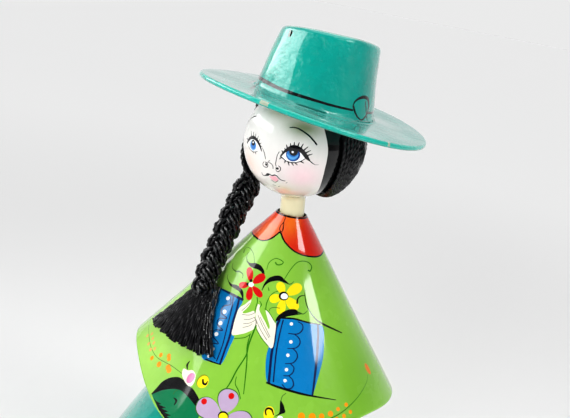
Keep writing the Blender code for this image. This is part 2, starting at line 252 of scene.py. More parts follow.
class Painting:
    def __init__(self, surface, ground, palette):
        self.surface = surface
        self.palette = {name: linear(code) for name, code in palette.items()}
        self.ground = ground
        self.shapes = []
        self.washes = []

    def fromPhoto(self):
        return Brush(self, self.surface.find, view["pixelsPerMillimetre"])

    def at(self, spot, turn=0.0, scale=1.0):
        # Scale may be a pair, and a negative first number turns left and right round
        return Brush(self, lambda points: self.surface.around(spot, np.asarray(points) * scale, turn), 1.0)

    def onChart(self):
        return Brush(self, lambda points: np.asarray(points, float), 1.0)

    def wash(self, name, centre, reach, color, strength):
        # A soft patch of another colour over one paint, strongest at its centre
        self.washes.append((name, np.array(centre, float), np.array(reach, float), linear(color), strength))

    def colors(self, names, chart):
        made = np.array([self.palette[name] for name in names])
        for touched, centre, reach, color, strength in self.washes:
            share = strength * np.exp(-(((chart - centre) / reach) ** 2).sum(-1))
            share *= np.array([name == touched for name in names])
            made += (color - made) * share[:, None]
        return made


class Brush:
    # Lays paint through its own way of reading points: photograph pixels, or millimetres about a spot
    def __init__(self, painting, read, perMillimetre):
        self.painting = painting
        self.read = read
        self.perMillimetre = perMillimetre

    def area(self, color, points, smooth=True, perSpan=6):
        points = np.reshape(points, (-1, 2))
        step = 2.0 * self.perMillimetre
        outline = smoothLine(points, perSpan, True) if smooth else straightLine(points, step)
        self.painting.shapes.append((color, [self.read(outline)]))
        return self

    def line(self, color, points, widths, perSpan=7, ends=True):
        # Widths are millimetres, given at even steps along the line
        chart = self.read(smoothLine(np.reshape(points, (-1, 2)), perSpan))
        widths = np.atleast_1d(widths)
        widths = np.interp(np.linspace(0.0, 1.0, len(chart)), np.linspace(0.0, 1.0, len(widths)), widths)
        surface = self.painting.surface
        ahead = (surface.slopes(chart) @ np.gradient(chart, axis=0)[..., None])[..., 0]
        aside = unit(np.cross(surface.normals(chart), ahead))
        reach = surface.unroll(chart, aside * 0.5 * widths[:, None])
        left, right = chart + reach, chart - reach
        shapes = []
        for i in range(len(chart) - 1):
            shapes.append(np.array([right[i], right[i + 1], left[i + 1]]))
            shapes.append(np.array([right[i], left[i + 1], left[i]]))
        for i in (0, -1):
            if ends and widths[i] > 0.25:
                shapes.append(self.round(chart[i], 0.5 * widths[i], 10))
        self.painting.shapes.append((color, shapes))
        return self

    def round(self, chart, radius, sides, squash=1.0, turn=0.0):
        turns = np.arange(sides) * fullTurn / sides
        circle = rows(radius * np.cos(turns), radius * squash * np.sin(turns))
        return self.painting.surface.around(chart, circle, turn)

    def dot(self, color, centre, radius, squash=1.0, turn=0.0, sides=20):
        middle = self.read([centre])[0]
        self.painting.shapes.append((color, [self.round(middle, radius, sides, squash, turn)]))
        return self

    def dots(self, color, centres, radius):
        for centre in np.reshape(centres, (-1, 2)):
            self.dot(color, centre, radius)
        return self

    def lines(self, color, lines, widths):
        for line in lines:
            self.line(color, line, widths)
        return self

    def closedLine(self, color, points, widths):
        return self.line(color, np.concatenate([points, points[:1]]), widths, 1, False)

    def lashes(self, color, lines, widths):
        for line in lines:
            self.line(color, line, widths, ends=False)
        return self

    def petals(self, color, tips, middle, width):
        for tip in np.reshape(tips, (-1, 2)):
            self.area(color, petal(middle, tip, width))
        return self

    def follow(self, table):
        # Lays a table of paint in its order. Points are written x, y, x, y and so on.
        ways = {"area": self.area, "line": self.line, "lines": self.lines, "lashes": self.lashes,
                "dot": self.dot, "dots": self.dots, "petals": self.petals}
        for kind, color, points, *size in table:
            ways[kind](color, points, *size)
        return self


def petal(middle, tip, width, clear=0.14):
    # A petal's outline: narrow near the flower's middle and blunt at its tip
    middle, tip = np.asarray(middle, float), np.asarray(tip, float)
    start = middle + (tip - middle) * clear
    along = tip - start
    aside = np.array([-along[1], along[0]]) / np.linalg.norm(along) * 0.5 * width
    oneSide = ((0.12, 0.5), (0.4, 0.92), (0.7, 1.0), (0.93, 0.62))
    shares = ((0.0, 0.0), *oneSide, (1.0, 0.0), *((a, -b) for a, b in reversed(oneSide)))
    return [start + along * a + aside * b for a, b in shares]


class Shell:
    # A closed mesh: a painted sheet, then rings that carry on from its edges
    def __init__(self):
        self.points, self.normals, self.faces, self.colors = [], [], [], []

    def addSheet(self, painting, edge, holes, net, creases=()):
        surface = painting.surface
        points, faces, names, edges = [], [], [], []

        def addShape(shape, name):
            clean = shape[np.linalg.norm(shape - np.roll(shape, 1, 0), axis=1) > 1e-4]
            if len(clean) < 3:
                return
            following = np.roll(clean, -1, 0)
            spread = (clean[:, 0] * following[:, 1] - following[:, 0] * clean[:, 1]).sum()
            if abs(spread) < 1e-5:
                return
            start = len(points)
            points.extend(clean if spread > 0.0 else clean[::-1])
            faces.append(list(range(start, start + len(clean))))
            names.append(name)

        addShape(edge, painting.ground)
        for hole in holes:
            addShape(hole, "hole")
        for color, shapes in painting.shapes:
            for shape in shapes:
                addShape(shape, color)
        for crease in creases:
            start = len(points)
            points.extend(crease)
            edges += [(start + i, start + (i + 1) % len(crease)) for i in range(len(crease))]
        points.extend(net)
        found = delaunay_2d_cdt([Vector(point) for point in points], edges, faces, 1, 1e-4, True)
        chart = np.array(found[0])
        kept, paints = [], []
        for face, inside in zip(found[2], found[5]):
            if 0 in inside and not any(names[i] == "hole" for i in inside):
                kept.append(face)
                paints.append(names[max(inside)])
        kept = np.array(kept)
        corner = chart[kept]
        turned = np.cross(corner[:, 1] - corner[:, 0], corner[:, 2] - corner[:, 0]) < 0.0
        kept[turned] = kept[turned][:, ::-1]
        used, kept = np.unique(kept, return_inverse=True)
        kept = kept.reshape(-1, 3)
        chart = chart[used]
        base = len(self.points)
        self.points.extend(surface.place(chart))
        self.normals.extend(surface.normals(chart))
        self.faces.extend((kept + base).tolist())
        colors = painting.colors(np.repeat(paints, 3), chart[kept].reshape(-1, 2))
        self.colors.extend(colors.reshape(-1, 3, 3))
        return [(loop, chart[np.array(loop) - base]) for loop in self.loops(kept, base, chart)]

    def loops(self, triangles, base, chart):
        # The sheet's edges as closed runs of points in their triangles' direction, the outermost first
        sides = np.concatenate([triangles[:, [0, 1]], triangles[:, [1, 2]], triangles[:, [2, 0]]])
        known = set(map(tuple, sides.tolist()))
        following = {a: b for a, b in known if (b, a) not in known}
        made = []
        while following:
            start, here = following.popitem()
            run = [start]
            while here != start:
                run.append(here)
                here = following.pop(here)
            made.append(run)
        made.sort(key=lambda run: -np.linalg.norm(chart[run[0]]))
        return [[i + base for i in run] for run in made]

    def addRing(self, loop, places, color):
        base = len(self.points)
        count = len(loop)
        colors = np.broadcast_to(color, (count, 3))
        self.points.extend(places)
        self.normals.extend(np.zeros((count, 3)))
        for i in range(count):
            j = (i + 1) % count
            self.faces.append([loop[j], loop[i], base + i, base + j])
            self.colors.append(np.tile(colors[i], (4, 1)))
        return list(range(base, base + count))

    def closeAt(self, loop, place, color):
        self.points.append(np.asarray(place, float))
        self.normals.append(np.zeros(3))
        for i, point in enumerate(loop):
            self.faces.append([loop[(i + 1) % len(loop)], point, len(self.points) - 1])
            self.colors.append(np.tile(color, (3, 1)))

    def finish(self, name, material):
        mesh = bpy.data.meshes.new(name)
        places = np.asarray(self.points) * metre
        mesh.from_pydata(places.tolist(), [], self.faces)
        mesh.materials.append(material)
        mesh.shade_smooth()
        layer = mesh.color_attributes.new("paint", "FLOAT_COLOR", "CORNER")
        colors = np.concatenate(self.colors)
        layer.data.foreach_set("color", np.concatenate([colors, np.ones((len(colors), 1))], 1).ravel())
        mesh.normals_split_custom_set_from_vertices(np.asarray(self.normals).tolist())
        item = bpy.data.objects.new(name, mesh)
        bpy.context.scene.collection.objects.link(item)
        print(name, "has", sum(len(face) - 2 for face in self.faces), "triangles")
        return item


# Materials

class Value:
    # A node's number that takes part in plain arithmetic
    def __init__(self, tree, socket):
        self.tree = tree
        self.socket = socket

    def work(self, operation, *values):
        return self.tree.add("ShaderNodeMath", {"operation": operation}, dict(enumerate(values)))

    def __add__(self, other):
        return self.work("ADD", self, other)

    __radd__ = __add__

    def __sub__(self, other):
        return self.work("SUBTRACT", self, other)

    def __rsub__(self, other):
        return self.work("SUBTRACT", other, self)

    def __mul__(self, other):
        return self.work("MULTIPLY", self, other)

    __rmul__ = __mul__


class NodeTree:
    def __init__(self, tree):
        self.tree = tree

    def add(self, kind, settings=None, values=None, output=0):
        node = self.tree.nodes.new(kind)
        for key, value in (settings or {}).items():
            setattr(node, key, value)
        for key, value in (values or {}).items():
            self.feed(node.inputs[key], value)
        return Value(self, node.outputs[output])

    def feed(self, socket, value):
        if isinstance(value, Value):
            self.tree.links.new(value.socket, socket)
        elif isinstance(value, tuple) and socket.type == "RGBA":
            socket.default_value = (*value[:3], 1.0)
        else:
            socket.default_value = value


class ShaderTree(NodeTree):
    def __init__(self, name):
        self.material = bpy.data.materials.new(name)
        self.material.use_nodes = True
        super().__init__(self.material.node_tree)

    def finish(self, values):
        shader = self.tree.nodes["Principled BSDF"]
        for key, value in values.items():
            self.feed(shader.inputs[key], value)
        return self.material

    def noise(self, scale, detail=3.0, stretch=(1.0, 1.0, 1.0)):
        # Scale is in lumps to a metre, stretch shortens the lumps along an axis
        place = self.add("ShaderNodeTexCoord", output="Object")
        if stretch != (1.0, 1.0, 1.0):
            place = self.add("ShaderNodeVectorMath", {"operation": "MULTIPLY"}, {0: place, 1: stretch})
        return self.add("ShaderNodeTexNoise", {}, {"Vector": place, "Scale": scale, "Detail": detail})

    def bump(self, height, depth, strength, under=None):
        given = {"Strength": strength, "Distance": depth, "Height": height}
        return self.add("ShaderNodeBump", {}, given | (under or {}))


lacquer = {
    "specular": 0.12,
    "roughness": 0.26,
    "roughnessSpread": 0.14,
    "bumpStrength": 0.5,
    "coatRoughness": 0.05,
    "tint": 0.16,
    "mottle": 90.0,
    "brush": 420.0,
    "pulp": 160.0,
    "pulpDepth": 0.0006,
    "pulpDetail": 2.0,
    "grain": 1500.0,
    "grainDepth": 0.00006,
}


def lacqueredPaint(name, facts):
    # Enamel brushed on pulp under clear lacquer: the colour is each corner's own paint
    tree = ShaderTree(name)
    paint = tree.add("ShaderNodeVertexColor", {"layer_name": "paint"})
    mottle = tree.noise(facts["mottle"], 4.0)
    brush = tree.noise(facts["brush"], 2.0, (1.0, 1.0, 0.12))
    level = 1.0 - facts["tint"] * 0.5 + facts["tint"] * (mottle * 0.6 + brush * 0.4)
    toned = tree.add("ShaderNodeVectorMath", {"operation": "SCALE"}, {0: paint, "Scale": level})
    # Only a hole is pure black, and it has no lacquer
    green = tree.add("ShaderNodeSeparateColor", {}, {"Color": paint}, 1)
    clamped = {"operation": "MULTIPLY", "use_clamp": True}
    lacquerShare = tree.add("ShaderNodeMath", clamped, {0: green, 1: 900.0})
    strength = facts["bumpStrength"]
    pulp = tree.bump(tree.noise(facts["pulp"], facts["pulpDetail"]), facts["pulpDepth"], strength)
    grain = tree.bump(tree.noise(facts["grain"], 2.0), facts["grainDepth"], strength, {"Normal": pulp})
    return tree.finish({
        "Base Color": toned,
        "Roughness": facts["roughness"] + facts["roughnessSpread"] * (mottle - 0.5),
        "Specular IOR Level": facts["specular"],
        "Coat Weight": lacquerShare,
        "Coat Roughness": facts["coatRoughness"],
        "Normal": grain,
    })


hatLacquer = dict(lacquer, specular=0.4, pulp=190.0, pulpDepth=0.0022, pulpDetail=3.5, tint=0.22)


flowerPaints = {
    "red": "D21414",
    "yellow": "FFE41E",
    "lilac": "BDA7C5",
    "white": "F6FAFC",
    "orange": "F59A10",
    "cream": "F4EEDC",
    "pink": "FF86B4",
}


# Skirt: a cone whose paint starts out of sight under the poncho

skirt = {
    "topDrop": 4.4,
    "topRadius": 7.1,
    "waistDrop": 103.5,
    "waistRadius": 55.4,
    "baseRadius": 90.0,
    "hemRound": 4.0,
    "paintTop": 62.0,
    "chartOffset": 9.5,
    "wobble": (0.25, 45.0, 3),
    "wobbleRise": 0.45,
    "hemCalm": 6.0,
    "edgePoints": 240,
    "sprays": 9,
    "sprayDrop": 139.0,
    "scallops": 36,
    "scallopDrop": 160.0,
    "scallopDepths": (0.0, 3.4, 4.6, 3.4, 0.0),
    "scallopWidths": (0.5, 0.8, 0.5),
    "dotRadius": 1.0,
    "dotRise": 0.6,
    "palette": dict(flowerPaints, teal="009E8F", deep="00675E", ink="0A0C12", fine="0A4A44", leaf="0A6A44"),
    "undersideRadii": (78.0, 60.0, 40.0, 20.0, 7.0),
    "hiddenDrops": (50.0, 35.0, 20.0),
}
skirtSlope = math.atan2(skirt["baseRadius"] - skirt["waistRadius"], neckHeight - skirt["waistDrop"])
skirtHemHeight = skirt["hemRound"] * (1.0 + math.sin(skirtSlope))
skirtHemRadius = skirt["baseRadius"] - skirt["hemRound"] * (1.0 - math.cos(skirtSlope))
skirtHemDrop = neckHeight - skirtHemHeight
skirtWobble = HandWobble(*skirt["wobble"])


def skirtPlace(chart):
    radius = np.linalg.norm(chart, axis=-1)
    ahead = unit(chart)
    drop = radius - skirt["chartOffset"]
    flare = np.interp(
        drop,
        (skirt["topDrop"], skirt["waistDrop"], skirtHemDrop),
        (skirt["topRadius"], skirt["waistRadius"], skirtHemRadius),
    )
    place = rows(flare * ahead[:, 0], flare * ahead[:, 1], neckHeight - drop)
    fade = np.clip((skirtHemDrop - drop) / skirt["hemCalm"], 0.0, 1.0)
    return place + levelRing(ahead, 1.0, skirt["wobbleRise"]) * (skirtWobble(place) * fade)[:, None]


skirtSurface = PaintedSurface(skirtPlace, polarNet(75.0, skirtHemDrop + 9.0, 6.0))
skirtPaint = Painting(skirtSurface, "teal", skirt["palette"])


def buildSkirt(material):
    shell = Shell()
    hemChart = skirtHemDrop + skirt["chartOffset"]
    topChart = skirt["paintTop"] + skirt["chartOffset"]
    net = polarNet(topChart + 3.0, hemChart - 2.0, 4.0)
    holes = [circle(topChart, skirt["edgePoints"] // 2)]
    edges = shell.addSheet(skirtPaint, circle(hemChart, skirt["edgePoints"]), holes, net)
    (hem, hemAt), (top, topAt) = edges[0], edges[-1]
    teal, deep = skirtPaint.palette["teal"], skirtPaint.palette["deep"]
    ahead = unit(hemAt)
    centre = skirt["baseRadius"] - skirt["hemRound"]
    for angle in np.linspace(skirtSlope, -0.5 * math.pi, 7)[1:]:
        radius = centre + skirt["hemRound"] * math.cos(angle)
        height = skirt["hemRound"] * (1.0 + math.sin(angle))
        hem = shell.addRing(hem, levelRing(ahead, radius, height), teal)
    # The underside is a darker teal, painted shade under the skirt
    for radius in skirt["undersideRadii"]:
        hem = shell.addRing(hem, levelRing(ahead, radius, 0.0), deep)
    shell.closeAt(hem, (0.0, 0.0, 0.0), deep)
    ahead = unit(topAt)
    for drop in (*skirt["hiddenDrops"], skirt["topDrop"]):
        share = (drop - skirt["topDrop"]) / (skirt["waistDrop"] - skirt["topDrop"])
        radius = skirt["topRadius"] + (skirt["waistRadius"] - skirt["topRadius"]) * share
        top = shell.addRing(top, levelRing(ahead, radius, neckHeight - drop), teal)
    shell.closeAt(top, (0.0, 0.0, neckHeight - skirt["topDrop"]), teal)
    return shell.finish("skirt", material)


# Poncho: a stiff oval cone, its hem lower at the front and back

poncho = {
    "wall": 2.0,
    "holeRadius": 6.93,
    "topRadius": 7.33,
    "widthFlare": 0.767,
    "depthFlare": 0.543,
    "sideDrop": 77.0,
    "frontExtraDrop": 22.5,
    "hemSharpness": 4,
    "hemRound": 0.8,
    "chartOffset": 9.5,
    "netReach": 112.0,
    "wobble": (0.22, 40.0, 11),
    "edgePoints": 280,
    # The inside is a darker green than the outside, painted shade in the poncho's hollow
    "palette": dict(
        flowerPaints, green="8CC446", inside="5E8F30", paleGreen="DDF0C0", leaf="0A7A4F", stem="2F7A14",
        fine="3C6A2C", ink="0C0C10", collar="DE2A12", orangeDeep="E07A08", paleOrange="E8B766",
        olive="8E9A1C", blue="0A80C0", navy="12204F", shade="8A8578",
    ),
    # Soft tones: the paint, the place's pixel, its reach in millimetres, colour and strength
    "tones": (
        ("collar", (268.0, 231.0), (9.0, 7.0), "FF9A66", 0.75),
        ("collar", (292.0, 222.0), (5.0, 6.0), "F08020", 0.75),
        ("collar", (316.0, 250.0), (9.0, 7.0), "D81A0C", 0.6),
        # Painted light and shade on the green: paler at the far left and the upper left, a painted highlight
        # and reflection where the light falls, and darker down the right side, painted shade
        ("green", (165.0, 330.0), (26.0, 34.0), "B4E474", 0.8),
        ("green", (250.0, 252.0), (16.0, 16.0), "A6DC70", 0.6),
        ("green", (365.0, 370.0), (18.0, 46.0), "74AE2C", 0.8),
    ),
}
ponchoWobble = HandWobble(*poncho["wobble"])


def ponchoPlace(angle, drop, lift=0.0):
    halfWidth = poncho["topRadius"] + poncho["widthFlare"] * drop
    halfDepth = poncho["topRadius"] + poncho["depthFlare"] * drop
    sine, cosine = np.sin(angle), np.cos(angle)
    place = rows(halfWidth * sine, -halfDepth * cosine, neckHeight - drop)
    around = rows(halfWidth * cosine, halfDepth * sine, 0.0)
    down = rows(poncho["widthFlare"] * sine, -poncho["depthFlare"] * cosine, -1.0)
    normal = unit(np.cross(down, around))
    fade = np.clip(np.asarray(drop) / 12.0, 0.0, 1.0)
    return place + normal * (lift + ponchoWobble(place) * fade)[..., None]


def ponchoOnChart(chart):
    drop = np.linalg.norm(chart, axis=-1) - poncho["chartOffset"]
    return ponchoPlace(np.arctan2(chart[:, 0], -chart[:, 1]), drop)


def hemDrop(angle):
    return poncho["sideDrop"] + poncho["frontExtraDrop"] * np.cos(angle) ** poncho["hemSharpness"]


def ponchoChart(angle, drop):
    reach = drop + poncho["chartOffset"]
    return rows(reach * np.sin(angle), -reach * np.cos(angle))


def ponchoReach(angle):
    return hemDrop(angle) - poncho["hemRound"] + poncho["chartOffset"]


ponchoNet = polarNet(poncho["chartOffset"] + 1.0, poncho["netReach"], 4.0, ponchoReach)
ponchoSurface = PaintedSurface(ponchoOnChart, ponchoNet)
ponchoPaint = Painting(ponchoSurface, "green", poncho["palette"])


# The poncho's front, in the order it is painted, by the photograph's pixels with widths in millimetres
ponchoFront = (
    ("area", "blue", (218.2, 287, 223.4, 289.6, 232, 293.8, 242.4, 299.4, 240.4, 306, 237.4, 311, 235, 318,
        233, 327, 232.2, 335, 234.3, 337, 229.4, 348, 225.6, 357, 220.6, 364.4, 213, 362, 202, 357.8,
        206, 340, 210, 320, 213, 300)),
    ("area", "blue", (278.4, 319.2, 290, 318.6, 303, 321.6, 317.7, 324.7, 323.4, 328, 324, 342, 323.2, 357,
        319.8, 371.5, 313.6, 392.9, 311.6, 395.8, 296, 392, 280, 387.4, 268, 383, 265.5, 371.3,
        266.5, 355.2, 269.4, 345.6, 273.6, 333, 275.8, 325)),
    ("line", "navy", (217.2, 286.8, 223.4, 289.9, 232, 294.2, 242.5, 299.6), (0.5, 0.8, 1.1, 1.2)),
    ("line", "navy", (233.4, 294.8, 232.7, 303.1, 231, 311.7, 226.9, 328, 222.5, 345, 216.6, 360.9), 0.6),
    ("line", "navy", (239, 299.6, 236.4, 310.7, 233.1, 321.4, 229.6, 336.5, 224.9, 350, 220, 363.8),
        (1, 1.15, 1.05, 0.9)),
    ("line", "ink", (205.4, 359.2, 212, 361.8, 220.6, 364.6), (0.5, 0.7, 0.4)),
    ("line", "navy", (229.6, 296.4, 230.8, 303.9, 223.4, 306.4, 221.3, 312.6, 226.8, 318.2, 219.6, 318.4,
        217, 323.8, 222.6, 330.2, 215.2, 330, 212.6, 335.4, 218.4, 343.6, 212.4, 343.6, 210, 351.6,
        215.2, 358.6), 0.5, 6),
    ("dots", "white", (227.9, 298.2, 224.5, 311.7, 220.4, 323, 216.3, 334.1), 1),
    ("dots", "white", (213, 348.9, 208.8, 356.1), 0.8),
    ("line", "navy", (279.4, 320.2, 275.9, 328.5, 274.4, 340, 271.6, 353.4, 269.8, 371.3, 268.8, 382.6),
        1.15),
    ("line", "navy", (283.2, 320.2, 280.8, 329.1, 278.4, 340, 276.1, 353.4, 274.3, 371.3, 273.4, 381.5),
        0.65),
    ("line", "navy", (317.7, 324.7, 318.2, 333.4, 317.7, 344.3, 317.1, 355, 315.4, 371.3, 312.6, 394.6),
        (0.9, 1.2, 1.25, 1.2, 0.8)),
    ("lines", "navy", ((298.2, 321.8, 302.5, 324.9, 302.2, 330.2, 297.1, 334, 288.4, 333.4), (294.5, 334.2,
        299.2, 338.6, 299.8, 343.8, 295.7, 348, 287.7, 348.5), (292.6, 348.3, 296.6, 352.5, 297.1, 357.9,
        293, 362.8, 285.4, 363.7), (290.4, 363.7, 293.9, 367.7, 292.6, 372.8, 288.6, 375.7, 283.7, 375.7)),
        (0.45, 0.6, 0.4)),
    ("line", "navy", (288.4, 375.6, 292.1, 379.3, 293.5, 384.6, 291, 388.4, 285.9, 388.6, 282.3, 384.6),
        (0.45, 0.6, 0.5)),
    ("dots", "white", (291.4, 323.9, 290.9, 341.9, 287.9, 355.2, 286.5, 369.7, 285, 380.6), 0.78),
    ("line", "ink", (281.9, 318, 293.8, 318.8, 307.9, 322.4, 319.9, 324.6), (0.9, 0.8, 0.7, 0.6)),
    ("line", "ink", (266.6, 382.7, 277.9, 387, 289.5, 390.6, 302.9, 394.2, 313.6, 396.3, 335.8, 399.9),
        (0.7, 1, 1.05, 1, 0.8, 0.35)),
    ("area", "cream", (238.9, 308.5, 235.4, 318.2, 233.1, 326.9, 232, 334.5, 240.7, 334.2, 247.2, 332.3,
        253.7, 329.1, 256.4, 324.7, 256.2, 320.5, 255, 317.2, 255.4, 313.9, 253.7, 310.9, 250.5, 311.9,
        245.1, 313.4, 242.6, 312.3, 246.3, 308.7, 249.7, 304.7, 251.2, 299.6, 245.1, 304.2)),
    ("area", "cream", (258.2, 304.2, 260, 305.9, 259.3, 310, 262, 316, 265.5, 322.5, 268.6, 328.9,
        269.7, 326.5, 268, 320, 265.6, 311, 267.5, 311, 270.7, 315.5, 274.2, 321.3, 275.9, 325, 275, 334,
        272.6, 347.5, 268, 346.2, 263.4, 340.6, 258.8, 333, 256.4, 326, 255.7, 319, 255.6, 313,
        256.6, 308.5)),
    ("lines", "shade", ((242.3, 314.4, 249.4, 315, 254.8, 312.8), (244, 319.3, 249.4, 319.3, 254.8, 317.2),
        (243.4, 323.7, 249.4, 323.1, 254.8, 320.4), (242.9, 327.5, 249.4, 325.8, 252.1, 323.7),
        (241.8, 310.7, 247.2, 305.8, 249.4, 303.1), (255.9, 319.3, 260.2, 329.1, 266.7, 339.9),
        (258.1, 315.4, 262.4, 325.8, 268.9, 337.8), (260.4, 317.3, 265.7, 328.1, 270, 336.7)), 0.28),
    ("line", "shade", (254.8, 318, 256.3, 322, 255.3, 325.8), (0.3, 0.6, 0.3)),
    ("line", "stem", (257, 297.6, 257.4, 302, 255.6, 308, 254.9, 312.4), (0.5, 0.45, 0.3)),
    ("line", "stem", (265.7, 309.5, 266.7, 303.1, 270, 296.4, 274.3, 292.4, 279.7, 290.8),
        (0.5, 0.4, 0.25)),
    ("line", "stem", (264.6, 308.8, 268.9, 312.4, 275, 322.4), (0.3, 0.35, 0.3)),
    ("line", "stem", (259.6, 300.9, 261.4, 304.6, 259.8, 307.4), (0.25, 0.5, 0.3)),
    ("line", "stem", (256, 325.6, 253.7, 331.3, 248.8, 344.6, 246.1, 355.4, 237.1, 369.6, 230, 383,
        222.9, 392.9), (0.75, 0.8, 0.6, 0.65, 0.7, 0.4)),
    ("line", "stem", (250.3, 333.9, 247.2, 346.4, 247, 358, 246, 371.4, 243.6, 394), (0.45, 0.6, 0.6, 0.4)),
    ("line", "stem", (234.5, 338.4, 244.3, 337.6, 249.6, 334.8), 0.4),
    ("line", "stem", (256.6, 329.6, 262, 338.6, 268.4, 346.4), 0.35),
    ("petals", "yellow", (279, 282.2, 269.6, 300, 279.6, 314.6), (284.1, 296), 8.6),
    ("petals", "yellow", (301.4, 285.4, 297.6, 309.4), (284.1, 296), 10.4),
    ("dot", "ink", (283.7, 296), 2.3, 0.9),
    ("dot", "white", (284.3, 296.3), 1.65, 0.85),
    ("line", "ink", (297.1, 303.1, 297.6, 299.3, 300.3, 296.2, 305, 295.5), (0.8, 0.6, 0.3)),
    ("line", "fine", (269.4, 310.6, 270.4, 308.4, 274.6, 307.4, 279.6, 308.2), 0.3),
    ("area", "ink", (247, 261.2, 250.5, 263, 255.9, 263, 260.8, 265.5, 263.9, 270.3, 264.5, 274.5,
        262.9, 274.7, 261.1, 271.8, 257.5, 269.4, 253.2, 268, 249.2, 265.3)),
    ("area", "ink", (228, 280.6, 231.5, 283.8, 236.4, 284.9, 240.7, 287.7, 243.4, 292.8, 243, 300.6,
        241.6, 296.2, 239.1, 291.6, 234.2, 288.3, 230.2, 285.5)),
    ("area", "ink", (261.8, 291, 263.9, 284.1, 268.9, 278, 275.4, 275.6, 280.8, 276.2, 284.6, 279.6,
        289.2, 284.3, 284.1, 282.7, 279.7, 281, 274.3, 281, 268.9, 282.7, 264.8, 286)),
    ("area", "ink", (275.3, 321.4, 277.9, 316.1, 284.1, 311.4, 290.6, 309.2, 295.6, 309.4, 298.4, 311.7,
        302.7, 313.9, 297.1, 314.9, 288.4, 316.3, 281.9, 318.4, 277.6, 320.8)),
    ("line", "fine", (289, 284.2, 291.6, 283.6, 293.8, 281.4), (0.5, 0.25)),
    ("line", "fine", (298.2, 313.4, 303.6, 313.9, 307.4, 310.7), (0.6, 0.25)),
    ("line", "fine", (247.2, 261.6, 246.7, 256.4, 248.3, 252.1), (0.5, 0.25)),
    ("line", "fine", (254.3, 262.8, 253.7, 254.3, 250.5, 248.9, 247.2, 247.2, 244.5, 249.9, 243.8, 252.4),
        (0.3, 0.25, 0.25, 0.5)),
    ("line", "fine", (233.1, 262.9, 232.2, 267.3, 235.3, 270.9, 239.6, 271.6, 242.9, 274.5, 242.3, 278.3),
        (0.2, 0.35, 0.85, 0.4, 0.25)),
    ("line", "fine", (227.9, 274.4, 227.4, 277.6, 229, 282.4), (0.2, 0.4)),
    ("line", "stem", (266.7, 269.7, 268.9, 262.9, 274.3, 258.8, 279.2, 259.2, 283.3, 262.3, 280.8, 264.6,
        277, 264.6, 275.6, 262.6), (0.25, 0.35, 0.4, 0.6, 0.7)),
    ("line", "stem", (284.4, 279.2, 290.6, 269.5, 297.1, 262.6, 303.6, 261.1, 309, 262.9, 311.6, 266.7,
        310.3, 270.9, 308.5, 270.5), (0.35, 0.4, 0.45, 0.55, 0.8)),
    ("line", "ink", (305.3, 289.6, 304.9, 295.5, 306.8, 305.2, 312.3, 315, 318.8, 321.5, 327.4, 326.2,
        341.7, 332.8), (0.2, 0.4, 0.45, 0.5, 0.8, 0.95, 0.45)),
    ("line", "stem", (268.3, 287.7, 269, 290.3), (0.35, 0.5)),
    ("petals", "red", (249.2, 267.1, 261.9, 297, 248.6, 300, 238.9, 285.4), (251, 284.4), 6.6),
    ("petals", "red", (264.9, 275), (251, 284.4), 8.4),
    ("dots", "ink", (250.9, 280.6, 247.7, 284), 0.75),
    ("dot", "white", (251.1, 284.5), 1.35, 0.85),
)

